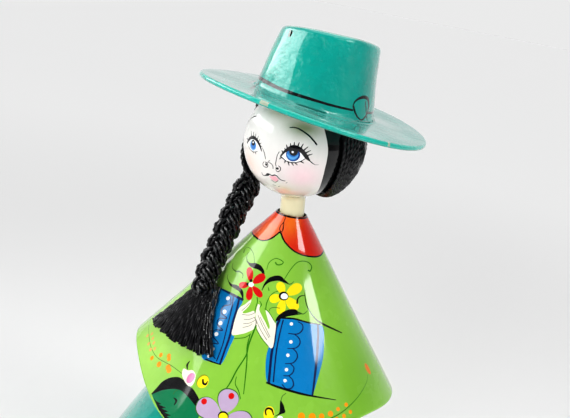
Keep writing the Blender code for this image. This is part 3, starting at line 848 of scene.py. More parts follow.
ponchoFrontHem = (
    ("line", "fine", (149.2, 317.9, 148.8, 326.8, 149.2, 337.5, 151.4, 348.2, 156.8, 357.1, 163.9, 361.6,
        172, 366.1, 182.7, 374.1), (0.2, 0.3)),
    ("dots", "paleOrange", (151.9, 333.9, 147.4, 335.7, 152.8, 338.4, 153.7, 342.9, 148.6, 343.8,
        154.6, 348.7, 150.5, 349.6), 0.95),
    ("dots", "orange", (160.8, 354.9, 151.9, 358, 168.8, 355.8, 168.9, 359), 1.15),
    ("dots", "orange", (159, 364.3, 168, 367.4, 169, 370.2), 1.4),
    ("area", "leaf", (151.9, 393.8, 156.8, 390.8, 163.9, 388.2, 172.9, 387.4, 180.9, 388.8, 187.1, 394.4,
        192.5, 400.8, 197.9, 408, 199.4, 414, 196.5, 421, 187, 430, 176, 431, 168, 424.5, 160.4, 413,
        155, 402)),
    ("area", "ink", (151.2, 394.2, 156.8, 387.7, 162.1, 381.9, 169.3, 377.9, 178.2, 377, 183.8, 380.2,
        189.1, 385.5, 194.5, 390.9, 199, 399.1, 201.2, 407.1, 201.6, 414.6, 197.7, 409.2, 192.3, 402,
        186.9, 395.7, 180.7, 390.4, 172.9, 389, 163.9, 389.9, 156.8, 392.3)),
    ("area", "ink", (153.6, 397.6, 156.6, 401.4, 161.6, 403.9, 158.8, 404.6, 166, 407.6, 161.8, 408.6,
        168.4, 411.4, 164.2, 412.4, 171, 415.4, 166.4, 416.4, 173.6, 419.8, 168, 423.4, 160.2, 413.2),
        False),
    ("line", "ink", (173.9, 397.8, 176.3, 400.8, 174.3, 404.7), (0.4, 1.1, 0.5)),
    ("line", "fine", (173.4, 394, 175, 391.4, 177.6, 390), 0.3),
    ("area", "cream", (183.6, 368.6, 188, 370.3, 192.6, 370.3, 195.4, 374.9, 194.3, 382.1, 190.7, 386.2,
        187.1, 384.8, 183.6, 379.5, 182, 373.8)),
    ("dot", "pink", (190.6, 378), 2.6, 0.72, 1.45),
    ("line", "ink", (189.6, 361.4, 187.2, 365, 187.5, 369.4), (0.5, 1.05, 0.4)),
    ("dot", "olive", (202.6, 381.2), 3.3, 0.86, 1.2),
    ("dot", "yellow", (203, 381.9), 3.05, 0.84, 1.2),
    ("line", "ink", (202.9, 379.8, 203.3, 383.3, 205.7, 384.3, 207.4, 381.6), (0.9, 1.1, 0.9, 0.5)),
    ("petals", "fine", (230.9, 388.6, 196.6, 402.8, 252.4, 424, 229.4, 441.6, 200, 432.4), (223.4, 416.4),
        21.4),
    ("petals", "lilac", (231, 389.8, 197.6, 402.9, 251.2, 423.8, 229.4, 440.4, 201, 431.9), (223.4, 416.4),
        20),
    ("line", "stem", (236.4, 376.8, 235.3, 383.9, 238.6, 391, 240.6, 399), (0.3, 0.5, 0.35)),
    ("dots", "red", (231.3, 396, 204.1, 401.4, 243.8, 421.4, 228.2, 432.8, 208, 427.6), 1.4),
    ("dot", "ink", (223.2, 416), 2.5, 0.85),
    ("dot", "yellow", (223.2, 416.9), 2.1, 0.85),
    ("dot", "orangeDeep", (367.7, 368.8), 2.95, 0.5, 1.75),
    ("line", "stem", (367.6, 374.9, 366.3, 382.9, 359.1, 395.4, 349.3, 406.1, 340.4, 413.2, 331.4, 417.9,
        316, 423, 298, 425), (0.2, 0.45, 0.5)),
    ("dots", "orange", (346.2, 404.7, 338.1, 409.2, 350.4, 411.9, 343.9, 415.9, 336.8, 419), 0.95),
    ("dots", "orange", (330.5, 413.7, 321.6, 416.3, 326, 424, 312, 428.6), 1.3),
    ("dots", "orange", (312.2, 416.8, 301.5, 416.3), 1.65),
    ("dot", "yellow", (268.9, 413.4), 3.2, 0.76, 1.5),
    ("line", "ink", (273.5, 414.6, 271.8, 409.7, 268.2, 408.3, 265.6, 410.5, 266, 415),
        (0.5, 0.9, 0.9, 0.5)),
    ("area", "ink", (280.7, 400.2, 283.3, 404.3, 284.5, 408.4, 285.2, 412.2, 281, 414.2, 274.3, 416.6,
        278.8, 413.3, 279.8, 409, 279.9, 404.5)),
    ("line", "fine", (285.9, 393.4, 282.3, 396.3, 281, 401.2), 0.35),
    ("dot", "white", (280.1, 418.4), 1.3, 0.9),
    ("area", "leaf", (384.5, 421, 386.6, 413.6, 390.4, 407.6, 395.6, 402.4, 398.4, 410, 397, 420,
        391, 426)),
    ("line", "paleGreen", (379.6, 417.4, 384.8, 411, 389.6, 406.2, 394.6, 402.2), (0.4, 0.8, 0.5)),
    ("line", "ink", (383.4, 423.4, 386.6, 416, 391.4, 412.4), (1.2, 1.8, 0.4)),
)

# Sprays for the sides and the back, in millimetres right of and above a spot
hemSpray = (
    ("line", "fine", (-15, 10, -9, 12.5, -2, 11, 4, 6.5), 0.3),
    ("dots", "orange", (-14, 12.6, -10.4, 10.4, -8.6, 14.6, -5.2, 10.2, -3, 13.6), 1.15),
    ("area", "leaf", (-17, -6, -12, 1, -4, 3.6, 3, 0.4, 5.6, -6, -2, -10, -10, -10)),
    ("area", "ink", (-18, -6.6, -13.4, 1.6, -4.4, 5.6, 4, 2.4, 7.4, -6.4, 2.6, -0.4, -4, 2.2, -11.6, -0.8)),
    ("line", "ink", (-7, -2.4, -5.6, -4, -6.8, -6.2), (0.4, 1.1, 0.4)),
    ("area", "cream", (4.2, 5, 7.6, 9.6, 10.6, 7.2, 9.6, 2.4, 6.2, 1.6)),
    ("dot", "pink", (7.9, 4.9), 2.6, 0.72, 1.2),
    ("dot", "yellow", (14, 4), 3, 0.86),
    ("line", "ink", (13, 5, 13.6, 3.2, 15.2, 3.4, 15.4, 5.2), (0.9, 1.1, 0.5)),
)
lilacFlower = (
    ("petals", "fine", (1, 13.4, 13, 3.6, 7.8, -11.2, -7.6, -11, -12.6, 4.6), (0, 0), 10.4),
    ("petals", "lilac", (1, 12.8, 12.4, 3.5, 7.4, -10.6, -7.2, -10.4, -12, 4.4), (0, 0), 9.6),
    ("dots", "red", (0.8, 9.8, 9.6, 2.8, 5.8, -8.2, -5.6, -8, -9.3, 3.4), 1.3),
    ("dot", "ink", (0, 0), 2.3),
    ("dot", "yellow", (0.3, -0.2), 1.9),
)
bouquetHead = (
    ("area", "ink", (-6, -9, -12.4, -7.4, -17.4, -1.6, -19.6, 3, -14.6, -0.6, -9.4, -4)),
    ("area", "ink", (5, -9.4, 11.4, -8.6, 16.8, -3.6, 19.6, 1.6, 14, -1.4, 8.6, -4.6)),
    ("line", "fine", (-3, 10.4, 0.4, 15.4, 4.6, 14.8, 4.4, 11.2, 2.2, 12), (0.3, 0.4, 0.6)),
    ("petals", "red", (-6.4, 9.8, 1.2, 5.4, -0.8, -3.6, -9, -5, -13.6, 3.2), (-6, 1.6), 4.2),
    ("dot", "white", (-6, 1.6), 1.5),
    ("petals", "yellow", (7.6, 7.8, 15.4, 2, 12, -7, 3, -7.2, 0.2, 2.2), (7.8, -0.4), 5),
    ("dot", "ink", (7.8, -0.4), 2.2),
    ("dot", "white", (8, -0.3), 1.6),
)
curls = (
    ("lines", "fine", ((-6, -6, -7, 0, -3.6, 5.6, 1.2, 6, 3.2, 2.8, 1, 0.6, -0.8, 2), (6, -7, 9.4, -2,
        8.4, 3.2, 5.6, 3)), (0.3, 0.45, 0.6)),
    ("area", "ink", (-6.6, -5, -1.6, -4.4, 4, -6.4, 9.6, -4.6, 5, -8.2, -1, -7.8)),
)
bouquet = (
    ("lines", "stem", ((-1, -34, -0.6, -18, -4.6, -2, -8.6, 11), (1.4, -33, 0.4, -16, 4.8, -4, 9, 3)),
        (0.4, 0.7, 0.5)),
    ("area", "ink", (-2.2, -20, -6.4, -13, -12.2, -10.6, -17, -13.6, -11.8, -13.6, -6.6, -16.2)),
    ("area", "ink", (1.6, -18, 4.4, -12, 10.4, -8.4, 16.4, -11.4, 10.4, -12.2, 5.2, -15.4)),
    ("area", "ink", (-15.4, 4.4, -19.6, 8, -21, 14, -18, 10.4, -13.6, 8)),
    ("lines", "stem", ((12, -10.6, 17.6, -6, 19, -0.4, 15.6, 2, 14.2, -0.6, 16.2, -1.6), (-13.4, -12.6,
        -18.6, -8, -19.6, -2.4, -16.2, -0.6, -15.4, -3.2), (-3.6, 14.6, 0.4, 19.6, 4.6, 19, 4.4, 15.4,
        2.2, 16.2)), (0.3, 0.4, 0.6)),
    ("petals", "red", (-9.6, 20.6, -1.4, 15.2, -3.4, 5.2, -12.4, 4.4, -17, 13), (-9, 11.8), 4.2),
    ("dot", "ink", (-9, 11.8), 1.8),
    ("dot", "white", (-8.8, 11.9), 1.3),
    ("petals", "yellow", (10, 12.4, 18.4, 6, 14.8, -3.4, 5.4, -3.6, 2.4, 6.2), (10.2, 3.6), 5),
    ("dot", "ink", (10.2, 3.6), 2.2),
    ("dot", "white", (10.4, 3.7), 1.6),
)
# The collar's lower edge: degrees round the neck from the front towards the figure's left, and drop
collar = {
    "edge": ((-5.0, 7.6), (0.0, 8.4), (5.0, 9.9), (12.0, 11.6), (24.0, 13.8), (36.0, 15.1), (52.0, 15.8),
             (70.0, 15.9), (95.0, 15.0), (120.0, 15.4), (150.0, 16.2), (172.0, 14.6), (180.0, 11.6),
             (188.0, 14.6), (210.0, 16.2), (240.0, 15.4), (265.0, 14.2), (290.0, 13.3), (306.0, 13.4),
             (328.0, 13.7), (339.0, 12.7), (347.0, 10.8), (352.0, 8.8)),
    "line": 0.75,
    "neckLine": 0.84,
    "placketWidths": (0.3, 0.35, 0.25),
    "placket": ((285.6, 217.4, 283.6, 223, 283, 228, 281.6, 233.2),
                (283.4, 222.6, 280.6, 226, 279.6, 229.4, 281.4, 231.6, 283.2, 229.4, 283.6, 224.4)),
}
# Each spray's place (degrees, drop), whether left and right are turned round, and its motif
backSprays = (
    (180.0, 57.0, 1, bouquet),
    (155.0, 75.0, 1, hemSpray),
    (205.0, 75.0, -1, hemSpray),
    (130.0, 59.0, 1, lilacFlower),
    (250.0, 59.0, 1, lilacFlower),
    (138.0, 38.0, -1, curls),
    (228.0, 38.0, 1, curls),
    (262.0, 42.0, -1, curls),
)


def paintPoncho():
    angles, drops = np.transpose(smoothLine(collar["edge"] + ((355.0, collar["edge"][0][1]),), 6))
    edge = ponchoChart(np.radians(angles), drops)
    ponchoPaint.shapes.append(("collar", [edge]))
    ring = circle(poncho["chartOffset"] + 0.5 * collar["neckLine"], 72)
    ponchoPaint.onChart().closedLine("ink", edge, collar["line"])
    ponchoPaint.onChart().closedLine("ink", ring, collar["neckLine"])
    brush = ponchoPaint.fromPhoto().lines("ink", collar["placket"], collar["placketWidths"])
    brush.follow(ponchoFront).follow(ponchoFrontHem)
    for angle, drop, flip, motif in backSprays:
        spot = ponchoChart(np.radians([angle]), np.array([drop]))[0]
        ponchoPaint.at(spot, 0.0, (flip, 1)).follow(motif)
    # Soft tones: on the collar from orange to red, and on the green a painted highlight at the left and
    # painted shade at the right
    for name, pixel, reach, color, strength in poncho["tones"]:
        ponchoPaint.wash(name, ponchoSurface.find([pixel])[0], reach, color, strength)


def paintSkirt():
    # Flowers round the skirt, and scallops with dots along its hem
    motifs = (lilacFlower, bouquetHead, hemSpray)
    for k in range(skirt["sprays"]):
        angle = (k + 0.5) * fullTurn / skirt["sprays"]
        spot = ponchoChart(np.array([angle]), np.array([skirt["sprayDrop"]]))[0]
        skirtPaint.at(spot, 0.0, (1 - 2 * (k % 2), 1)).follow(motifs[k % 3])
    step = 0.5 * fullTurn / skirt["scallops"]
    for k in range(skirt["scallops"]):
        angles = 2.0 * k * step + step * np.linspace(-1.0, 1.0, 5)
        drops = skirt["scallopDrop"] + np.array(skirt["scallopDepths"])
        middle = ponchoChart(angles[2:3], drops[:1] - skirt["dotRise"])[0]
        skirtPaint.onChart().line("ink", ponchoChart(angles, drops), skirt["scallopWidths"])
        skirtPaint.onChart().dot("white", middle, skirt["dotRadius"])


def buildPoncho(material):
    shell = Shell()
    angles = np.arange(poncho["edgePoints"]) * fullTurn / poncho["edgePoints"]
    edges = shell.addSheet(
        ponchoPaint,
        ponchoChart(angles, hemDrop(angles) - poncho["hemRound"]),
        [circle(poncho["chartOffset"], 96)],
        polarNet(poncho["chartOffset"] + 1.5, poncho["netReach"], 2.6, lambda turn: ponchoReach(turn) - 1.2),
    )
    (hem, at), (lip, lipAt) = edges[0], edges[-1]
    green, inside, ink = (ponchoPaint.palette[name] for name in ("green", "inside", "ink"))
    angle = np.arctan2(at[:, 0], -at[:, 1])
    edge, half = hemDrop(angle) - poncho["hemRound"], 0.5 * poncho["wall"]
    for turn in np.linspace(0.0, math.pi, 8)[1:]:
        drop = edge + poncho["hemRound"] * math.sin(turn)
        hem = shell.addRing(hem, ponchoPlace(angle, drop, half * (math.cos(turn) - 1.0)), green)
    # The inside, up to the lip round the neck, is a darker green: painted shade in the poncho's hollow
    for share in np.linspace(0.8, 0.0, 5):
        drop = poncho["wall"] + (edge - poncho["wall"]) * share
        places = ponchoPlace(angle, drop, -poncho["wall"])
        widen = np.maximum(1.0, poncho["holeRadius"] / np.linalg.norm(places[:, :2], axis=-1))
        places[:, :2] *= widen[:, None]
        hem = shell.addRing(hem, places, inside)
    ahead, hole = unit(lipAt), poncho["holeRadius"]
    for radius, drop in ((hole + 0.12, 0.0), (hole, 0.12), (hole, 1.0)):
        lip = shell.addRing(lip, levelRing(ahead, radius, neckHeight - drop), ink)
    joinLoops(shell, hem, lip, inside)
    return shell.finish("ponchoShell", material)


def joinLoops(shell, first, second, color):
    # Closes the space between two edges that have different numbers of points
    def turns(loop):
        places = np.array([shell.points[i] for i in loop])
        return np.arctan2(places[:, 0], -places[:, 1]) % fullTurn

    def fromFront(loop):
        angle = turns(loop)
        steps = (np.roll(angle, -1) - angle + math.pi) % fullTurn - math.pi
        rising = steps.sum() > 0.0
        ordered = list(loop) if rising else list(reversed(loop))
        start = int(np.argmin(turns(ordered)))
        ordered = ordered[start:] + ordered[:start]
        return ordered, turns(ordered), rising

    def nextTurn(angles, at):
        # An edge that is already closed waits for the other
        if at + 1 < len(angles):
            return angles[at + 1]
        return fullTurn + angles[0] if at + 1 == len(angles) else 2.0 * fullTurn

    a, turnsA, risingA = fromFront(first)
    b, turnsB, _ = fromFront(second)
    i = j = 0
    while i < len(a) or j < len(b):
        if nextTurn(turnsA, i) <= nextTurn(turnsB, j):
            face = [a[(i + 1) % len(a)], a[i % len(a)], b[j % len(b)]]
            i += 1
        else:
            face = [a[i % len(a)], b[j % len(b)], b[(j + 1) % len(b)]]
            j += 1
        shell.faces.append(face if risingA else face[::-1])
        shell.colors.append(np.tile(color, (3, 1)))


# The face, by the photograph's pixels, with brush widths in millimetres
face = {
    "inks": {
        # The neck is cream like the face, made darker and yellower as painted shade under the chin
        "skin": "E5E1DE", "hairPaint": "0A0A0C", "neck": "DED6B2", "ink": "0B0A0F", "fine": "5B5A58",
        "eyeWhite": "F7F8FB", "irisEdge": "123C86", "iris": "2C74C0", "irisLight": "5AA2DE",
        "paleIris": "8FBBE0", "lips": "F0B4BE",
    },
    # Degrees from the middle of the face, to the figure's left and up, for one half
    "outline": ((0, 84), (22, 80), (40, 66), (53, 46), (61, 30), (65.3, 15.7), (65.5, 2), (64, -10),
                (61.9, -23.2), (56.4, -45), (47, -66), (34, -84), (24, -104), (13, -121), (0, -126)),
    "middle": (-2.0, 0.0),
    # Eyes, brows, nose, mouth and chin in the order that they are painted
    "strokes": (
        ("area", "eyeWhite", (282, 156.6, 285.4, 152.6, 290, 149.6, 295, 148.6, 300, 150.6, 304, 154.6,
            305.4, 157.8, 301.4, 160.7, 296.6, 162.1, 291.2, 162, 286.3, 160.5, 283.2, 158.4)),
        ("area", "eyeWhite", (249.2, 141.8, 252.2, 139.2, 256.2, 141.6, 258.8, 146.4, 259.8, 150,
            257.2, 151.2, 253.6, 151.4, 250.4, 148.8)),
        ("dot", "irisEdge", (293, 154.5), 3.15),
        ("dot", "iris", (292.6, 154.7), 2.6),
        ("area", "irisLight", (286.9, 153.6, 287.8, 156.6, 290.4, 158.9, 293.6, 159.3, 297, 157.6,
            298.6, 154.6, 297, 155.4, 294.6, 157.2, 291.6, 157, 289.2, 155.2)),
        ("dot", "ink", (293.6, 151.5), 1.95),
        ("dot", "eyeWhite", (292.7, 152.1), 0.5),
        ("dot", "paleIris", (252.9, 145.4), 2.5, 0.95),
        ("dot", "iris", (253.2, 145.2), 1.9),
        ("dot", "ink", (253.1, 142.7), 1.35),
        ("dot", "eyeWhite", (253.1, 142.3), 0.42),
        ("line", "ink", (280.6, 156.3, 284.7, 151.6, 289.3, 148.6, 293.7, 147.2, 298.8, 148.8, 303.2, 152.4,
            306.8, 157.4, 309.8, 160.9), (0.6, 1.1, 1.7, 2, 2, 1.9, 1.7, 0.5)),
        ("area", "ink", (303, 151.6, 306, 154.4, 309.6, 160.4, 305.4, 157.6), False),
        ("line", "ink", (308.6, 159.6, 312.7, 163.4, 315.8, 164.8, 318.8, 164.7), (0.6, 0.25, 0.12)),
        ("line", "ink", (281.6, 157.2, 283.6, 159, 286.3, 161, 291.3, 162.4, 296.6, 162.4, 301.2, 161,
            305.2, 158.6), (0.5, 0.4, 0.45, 0.35)),
        ("lashes", "ink", ((283.2, 153, 281.8, 150.4), (285.6, 150.8, 284.6, 148), (287.6, 149.2,
            286.4, 144.6), (290.7, 148, 290.5, 143.2), (294, 147.4, 294.4, 142), (297.3, 148, 299.3, 142.3),
            (300.2, 149.4, 303.4, 143.8), (302.6, 151.4, 308.1, 146.7), (304.4, 153.6, 310.8, 150.4),
            (306, 156, 312.5, 154)), (0.8, 0.3)),
        ("lashes", "ink", ((281.8, 157, 279.2, 159.2), (285.4, 160.4, 284.6, 163.2), (288.2, 161.8,
            289.2, 165.6), (291.6, 162.4, 293.6, 165.8), (295, 162.6, 297.6, 165.3), (300.8, 161.4,
            303.8, 163.2)), (0.7, 0.3)),
        ("line", "ink", (247.4, 142.6, 249.7, 138.6, 253, 137.4, 256.6, 139.9, 259.6, 145.2, 261.6, 151),
            (0.8, 1.5, 1.6, 1.4, 1.1, 0.5)),
        ("line", "ink", (248.6, 146, 250.4, 149.8, 253.6, 151.9, 257.4, 151.4), (0.3, 0.3)),
        ("lashes", "ink", ((251.8, 137.8, 251.2, 131), (253.6, 137.6, 253.5, 131.8), (255.4, 138.6,
            255.9, 133.6), (257, 140, 258.4, 135.8), (258.2, 142, 260, 139.2), (259.3, 144.4, 261.3, 142.8),
            (260.2, 146.8, 262.1, 146), (253.2, 151.6, 253.4, 153.4), (255, 151.8, 256, 154.4),
            (248.8, 140.6, 246.8, 138.2)), (0.6, 0.25)),
        ("line", "ink", (290, 127.6, 293.7, 127.4, 298.8, 128.8, 304.6, 132.3, 309.8, 136.4, 313.4, 140.4,
            316.7, 144.6), (0.35, 0.6, 0.7, 0.75, 0.8, 0.75)),
        ("line", "ink", (247.6, 122.8, 250.6, 118.9, 254, 116.8, 257.4, 116), (0.3, 0.65, 0.7, 0.4)),
        ("lines", "fine", ((262.3, 147.6, 264.2, 152.6, 265.6, 158.9), (279.2, 151.8, 277.2, 155.7,
            276.1, 160.9, 275.6, 163.9, 276.2, 166.2), (269.7, 160.4, 268, 162.3, 270.9, 163.4, 272.8, 166,
            273, 168.6)), (0.3, 0.45, 0.4)),
        ("lines", "ink", ((264, 161.8, 262.8, 163.8, 263.6, 166, 265.6, 167.2, 267.6, 166.6, 267.6, 163.4,
            265.2, 162), (276, 167.4, 276.2, 170.6, 278.2, 171.6, 280.2, 170.2, 280.4, 167.6, 278.6, 166)),
            (0.32, 0.45, 0.38)),
        ("dots", "ink", (266.1, 164.5, 277.5, 168.6), 0.62),
        ("area", "lips", (269.4, 176, 272, 176.2, 275, 175.9, 277.4, 178.2, 278.6, 179.6, 276.6, 181.4,
            273.8, 180.8, 271, 178.6)),
        ("area", "ink", (264.8, 175.6, 267.2, 173.5, 269.6, 174.2, 268.4, 175.8)),
        ("line", "ink", (261.8, 172.6, 263, 175, 265.4, 175.5, 267.3, 173.7, 269.5, 174.2, 271.9, 175.6,
            274.6, 175, 276.8, 176, 279, 178.4, 281.9, 180.3, 285, 181), (0.35, 0.5, 0.6, 0.6, 0.5, 0.45)),
        ("line", "fine", (271.4, 179.8, 273.6, 181.6, 275.6, 182.2, 278.2, 180.6), (0.3, 0.4, 0.3)),
        ("lines", "fine", ((272.8, 184.6, 276.2, 185.8), (278.2, 186.6, 280.2, 186.1), (286, 183,
            287.4, 182.4)), (0.3, 0.25)),
    ),
    # Soft tones: the place's pixel, its reach, colour and strength
    "tones": (
        ((302.5, 177.0), (8.5, 8.0), "F3C8D2", 0.7),
        ((250.5, 163.0), (5.5, 6.0), "F3C9B4", 0.6),
        ((285.5, 190.0), (3.2, 2.6), "F3B89A", 0.6),
        # Painted shadow of the brim across the forehead, olive-green as a painted reflection of the brim
        ((304.0, 128.0), (9.0, 4.4), "66743F", 0.9),
        ((280.0, 112.0), (11.0, 3.6), "8F9070", 0.75),
    ),
    # The shade on the neck's side of the chin, which is placed in degrees
    "underChin": ((0.0, -62.0), (22.0, 7.0), "CFC6A2", 0.8),
}


# Head: a ball with a leaning neck, painted with a face and, behind it, with black hair

head = {
    "radius": 25.3,
    "rise": 35.4,
    "lean": 11.5,
    "turn": -15.0,
    "neckRadius": 5.9,
    "neckSink": 3.0,
    "neckFillet": 4.0,
    "paintReach": 116.0,
    "edgePoints": 120,
    "wobble": (0.10, 22.0, 5),
}
headTurn = np.array(Matrix.Rotation(math.radians(head["turn"]), 3, "Z")
                    @ Matrix.Rotation(math.radians(head["lean"]), 3, "X"))
headWobble = HandWobble(*head["wobble"])
headCentre = headTurn @ np.array([0.0, 0.0, head["rise"]]) + np.array([0.0, 0.0, neckHeight])


def headToWorld(local):
    return np.asarray(local) @ headTurn.T + np.array([0.0, 0.0, neckHeight])


def headPlace(chart):
    reach = np.linalg.norm(chart, axis=-1)
    angle = reach / head["radius"]
    ahead = unit(chart)
    outward = rows(np.sin(angle) * ahead[:, 0], -np.cos(angle), np.sin(angle) * ahead[:, 1])
    radius = head["radius"] + headWobble(outward * head["radius"])
    return headToWorld(outward * radius[:, None] + [0.0, 0.0, head["rise"]])


def headChart(turn, rise):
    # Degrees from the face's middle, to the figure's left and up
    return np.radians(rows(turn, rise)) * head["radius"]


headNet = polarNet(0.5, 45.0, 1.6)
headSurface = PaintedSurface(headPlace, headNet, lambda chart: np.tile([0.0, 1.0], (len(chart), 1)))
headPaint = Painting(headSurface, "hairPaint", face["inks"])


def paintHead():
    edge = np.array(face["outline"], float)
    mirrored = edge[1:-1][::-1] * [-1.0, 1.0]
    outline = np.concatenate([edge, mirrored]) + face["middle"]
    headPaint.onChart().area("skin", headChart(outline[:, 0], outline[:, 1]))
    headPaint.fromPhoto().follow(face["strokes"])
    # Blush and peach on the cheeks and chin, and the brim's painted shadow and reflection on the forehead
    for pixel, *tone in face["tones"]:
        headPaint.wash("skin", headSurface.find([pixel])[0], *tone)
    place, *tone = face["underChin"]
    headPaint.wash("skin", headChart(*place), *tone)


def buildHead(material):
    shell = Shell()
    filletRing = head["neckRadius"] + head["neckFillet"]
    filletDrop = math.sqrt((head["radius"] + head["neckFillet"]) ** 2 - filletRing ** 2)
    touch = math.atan2(filletDrop, filletRing)
    turns = np.arange(72) * fullTurn / 72
    outward = rows(math.cos(touch) * np.cos(turns), math.cos(touch) * np.sin(turns), -math.sin(touch))
    angle = np.arccos(-outward[:, 1])
    neckHole = unit(outward[:, [0, 2]]) * (angle * head["radius"])[:, None]
    reach = math.radians(head["paintReach"]) * head["radius"]
    net = polarNet(0.8, reach - 1.0, 1.5)
    away = np.linalg.norm(net - neckHole.mean(0), axis=1)
    clear = away > np.linalg.norm(neckHole - neckHole.mean(0), axis=1).max() + 0.5
    edges = shell.addSheet(headPaint, circle(reach, head["edgePoints"]), [neckHole], net[clear])
    (back, backAt), (neck, _) = edges[0], edges[-1]
    black, skin = headPaint.palette["hairPaint"], headPaint.palette["neck"]
    ahead = unit(backAt)
    for degrees in (128.0, 140.0, 155.0, 170.0):
        ring = math.radians(degrees)
        outward = rows(math.sin(ring) * ahead[:, 0], -math.cos(ring), math.sin(ring) * ahead[:, 1])
        places = outward * head["radius"] + [0.0, 0.0, head["rise"]]
        back = shell.addRing(back, headToWorld(places), black)
    shell.closeAt(back, headToWorld([[0.0, head["radius"], head["rise"]]])[0], black)
    places = (np.array([shell.points[i] for i in neck]) - [0.0, 0.0, neckHeight]) @ headTurn
    ahead = unit(places[:, :2])
    fillet, filletHeight = head["neckFillet"], head["rise"] - filletDrop
    profile = [(filletRing - fillet * math.cos(a), filletHeight + fillet * math.sin(a))
               for a in np.linspace(touch, 0.0, 6)[1:]]
    profile += [(head["neckRadius"], height) for height in (3.0, 0.5, -head["neckSink"])]
    # The neck rings take that darker, yellower cream, painted shade under the chin
    for radius, height in profile:
        places = levelRing(ahead, radius, height)
        neck = shell.addRing(neck, headToWorld(places), skin)
    shell.closeAt(neck, headToWorld([[0.0, 0.0, -head["neckSink"]]])[0], skin)
    return shell.finish("headBall", material)


# Hat: an upright crown on a tilted brim, laid out by the length from the crown's centre

hat = {
    "brimRadius": 54.5,
    "brimThickness": 2.4,
    "brimCentre": (1.3, -3.4, 227.9),
    "brimTilt": 6.5,
    "brimTiltTowards": 10.0,
    "brimCurl": 1.2,
    "brimCurlTowards": 78.0,
    "crownBaseShift": (1.1, -3.1),
    "crownTopShift": (3.0, -2.6),
    "crownBaseRadius": 28.2,
    "crownTopRadius": 23.2,
    "crownTop": 260.6,
    "crownTopTilt": 5.8,
    "crownWall": 2.6,
    "crownRound": 3.0,
    "crownSide": 29.0,
    "brimWidth": 26.0,
    "baseFillet": 1.3,
    "wobble": (0.28, 26.0, 8),
    "edgeCalm": 5.0,
    "wobbleUp": 0.6,
    "wobbleOut": 0.8,
    "edgePoints": 260,
    "seed": 12,
    "patches": 26,
    "patchReach": (8.0, 76.0),
    "patchSize": (5.0, 12.0),
    "patchStrength": 0.5,
    "patchPaints": ("00B3A2", "008F83", "0AA79A"),
    "shoulderTurn": 78.0,
    "palette": {
        "teal": "009C90",
        # A darker teal for the crown's inside, painted shade in the hollow
        "deep": "00756B",
        "ink": "090B12",
        "faded": "5E8F88",
        "chip": "A9B7A2",
        # A pale teal for the line round the crown's top edge, a painted highlight
        "edgeLight": "8FC4B6",
        "dent": "5C6A60",
        "hole": "000000",
        # A brighter teal for the brim's rim, a painted highlight along the edge
        "rim": "00B0A0",
    },
}
hatWobble = HandWobble(*hat["wobble"])
tilt, towards = math.radians(hat["brimTilt"]), math.radians(hat["brimTiltTowards"])
brimNormal = np.array([math.sin(tilt) * math.cos(towards), math.sin(tilt) * math.sin(towards),
                       math.cos(tilt)])
brimAcross = unit(np.cross([0.0, 1.0, 0.0], brimNormal))
brimAlong = np.cross(brimNormal, brimAcross)
brimMiddle = np.array(hat["brimCentre"])
crownFoot, crownHead = np.array(hat["crownBaseShift"]), np.array(hat["crownTopShift"])
hatBends = np.cumsum([
    0.0,
    hat["crownTopRadius"] - hat["crownRound"],
    0.5 * math.pi * hat["crownRound"],
    hat["crownSide"],
    hat["brimWidth"],
])


def brimHeight(places, lift):
    level = brimMiddle + lift * brimNormal
    return level[2] - (places[:, :2] - level[:2]) @ brimNormal[:2] / brimNormal[2]


def crownRing(ahead, radius, height):
    # Parallel to the crown's top
    out = ahead * np.broadcast_to(radius, len(ahead))[:, None]
    flat = crownHead + out
    return rows(flat[:, 0], flat[:, 1], height - math.tan(math.radians(hat["crownTopTilt"])) * out[:, 1])


def footRing(ahead, radius, lift):
    flat = crownFoot + ahead * radius
    return rows(flat[:, 0], flat[:, 1], brimHeight(flat, lift))


def brimRing(ahead, radius, lift, curl=hat["brimCurl"]):
    around = np.arctan2(ahead[:, 1], ahead[:, 0]) - math.radians(hat["brimCurlTowards"])
    raised = (lift + curl * np.cos(2.0 * around))[:, None]
    return brimMiddle + raised * brimNormal + radius * (ahead[:, :1] * brimAcross + ahead[:, 1:] * brimAlong)


def hatFlat(chart):
    # The hat without its fillet or its unevenness
    reach = np.linalg.norm(chart, axis=-1)
    ahead = unit(chart)
    flat, curved, side, brimEnd = hatBends[1:]
    half = 0.5 * hat["brimThickness"]
    shoulderTurn = math.radians(hat["shoulderTurn"])
    turn = np.clip((reach - flat) / (curved - flat), 0.0, 1.0) * shoulderTurn
    onTop = reach <= curved
    radius = np.where(reach < flat, reach, flat + hat["crownRound"] * np.sin(turn))
    height = hat["crownTop"] - hat["crownRound"] * (1.0 - np.cos(turn))
    top = crownRing(ahead, radius, height)
    share = np.clip((reach - curved) / (side - curved), 0.0, 1.0)
    ridge = crownRing(ahead, flat + hat["crownRound"] * math.sin(shoulderTurn),
                      hat["crownTop"] - hat["crownRound"] * (1.0 - math.cos(shoulderTurn)))
    foot = footRing(ahead, hat["crownBaseRadius"], half)
    wall = ridge + (foot - ridge) * share[:, None]
    out = np.clip((reach - side) / (brimEnd - side), 0.0, 1.1)[:, None]
    rim = brimRing(ahead, hat["brimRadius"] - half, half, 0.0)
    curl = brimRing(ahead, hat["brimRadius"] - half, half) - rim
    brim = foot + (rim - foot) * out + curl * out ** 2
    return np.where(onTop[:, None], top, np.where((reach <= side)[:, None], wall, brim))


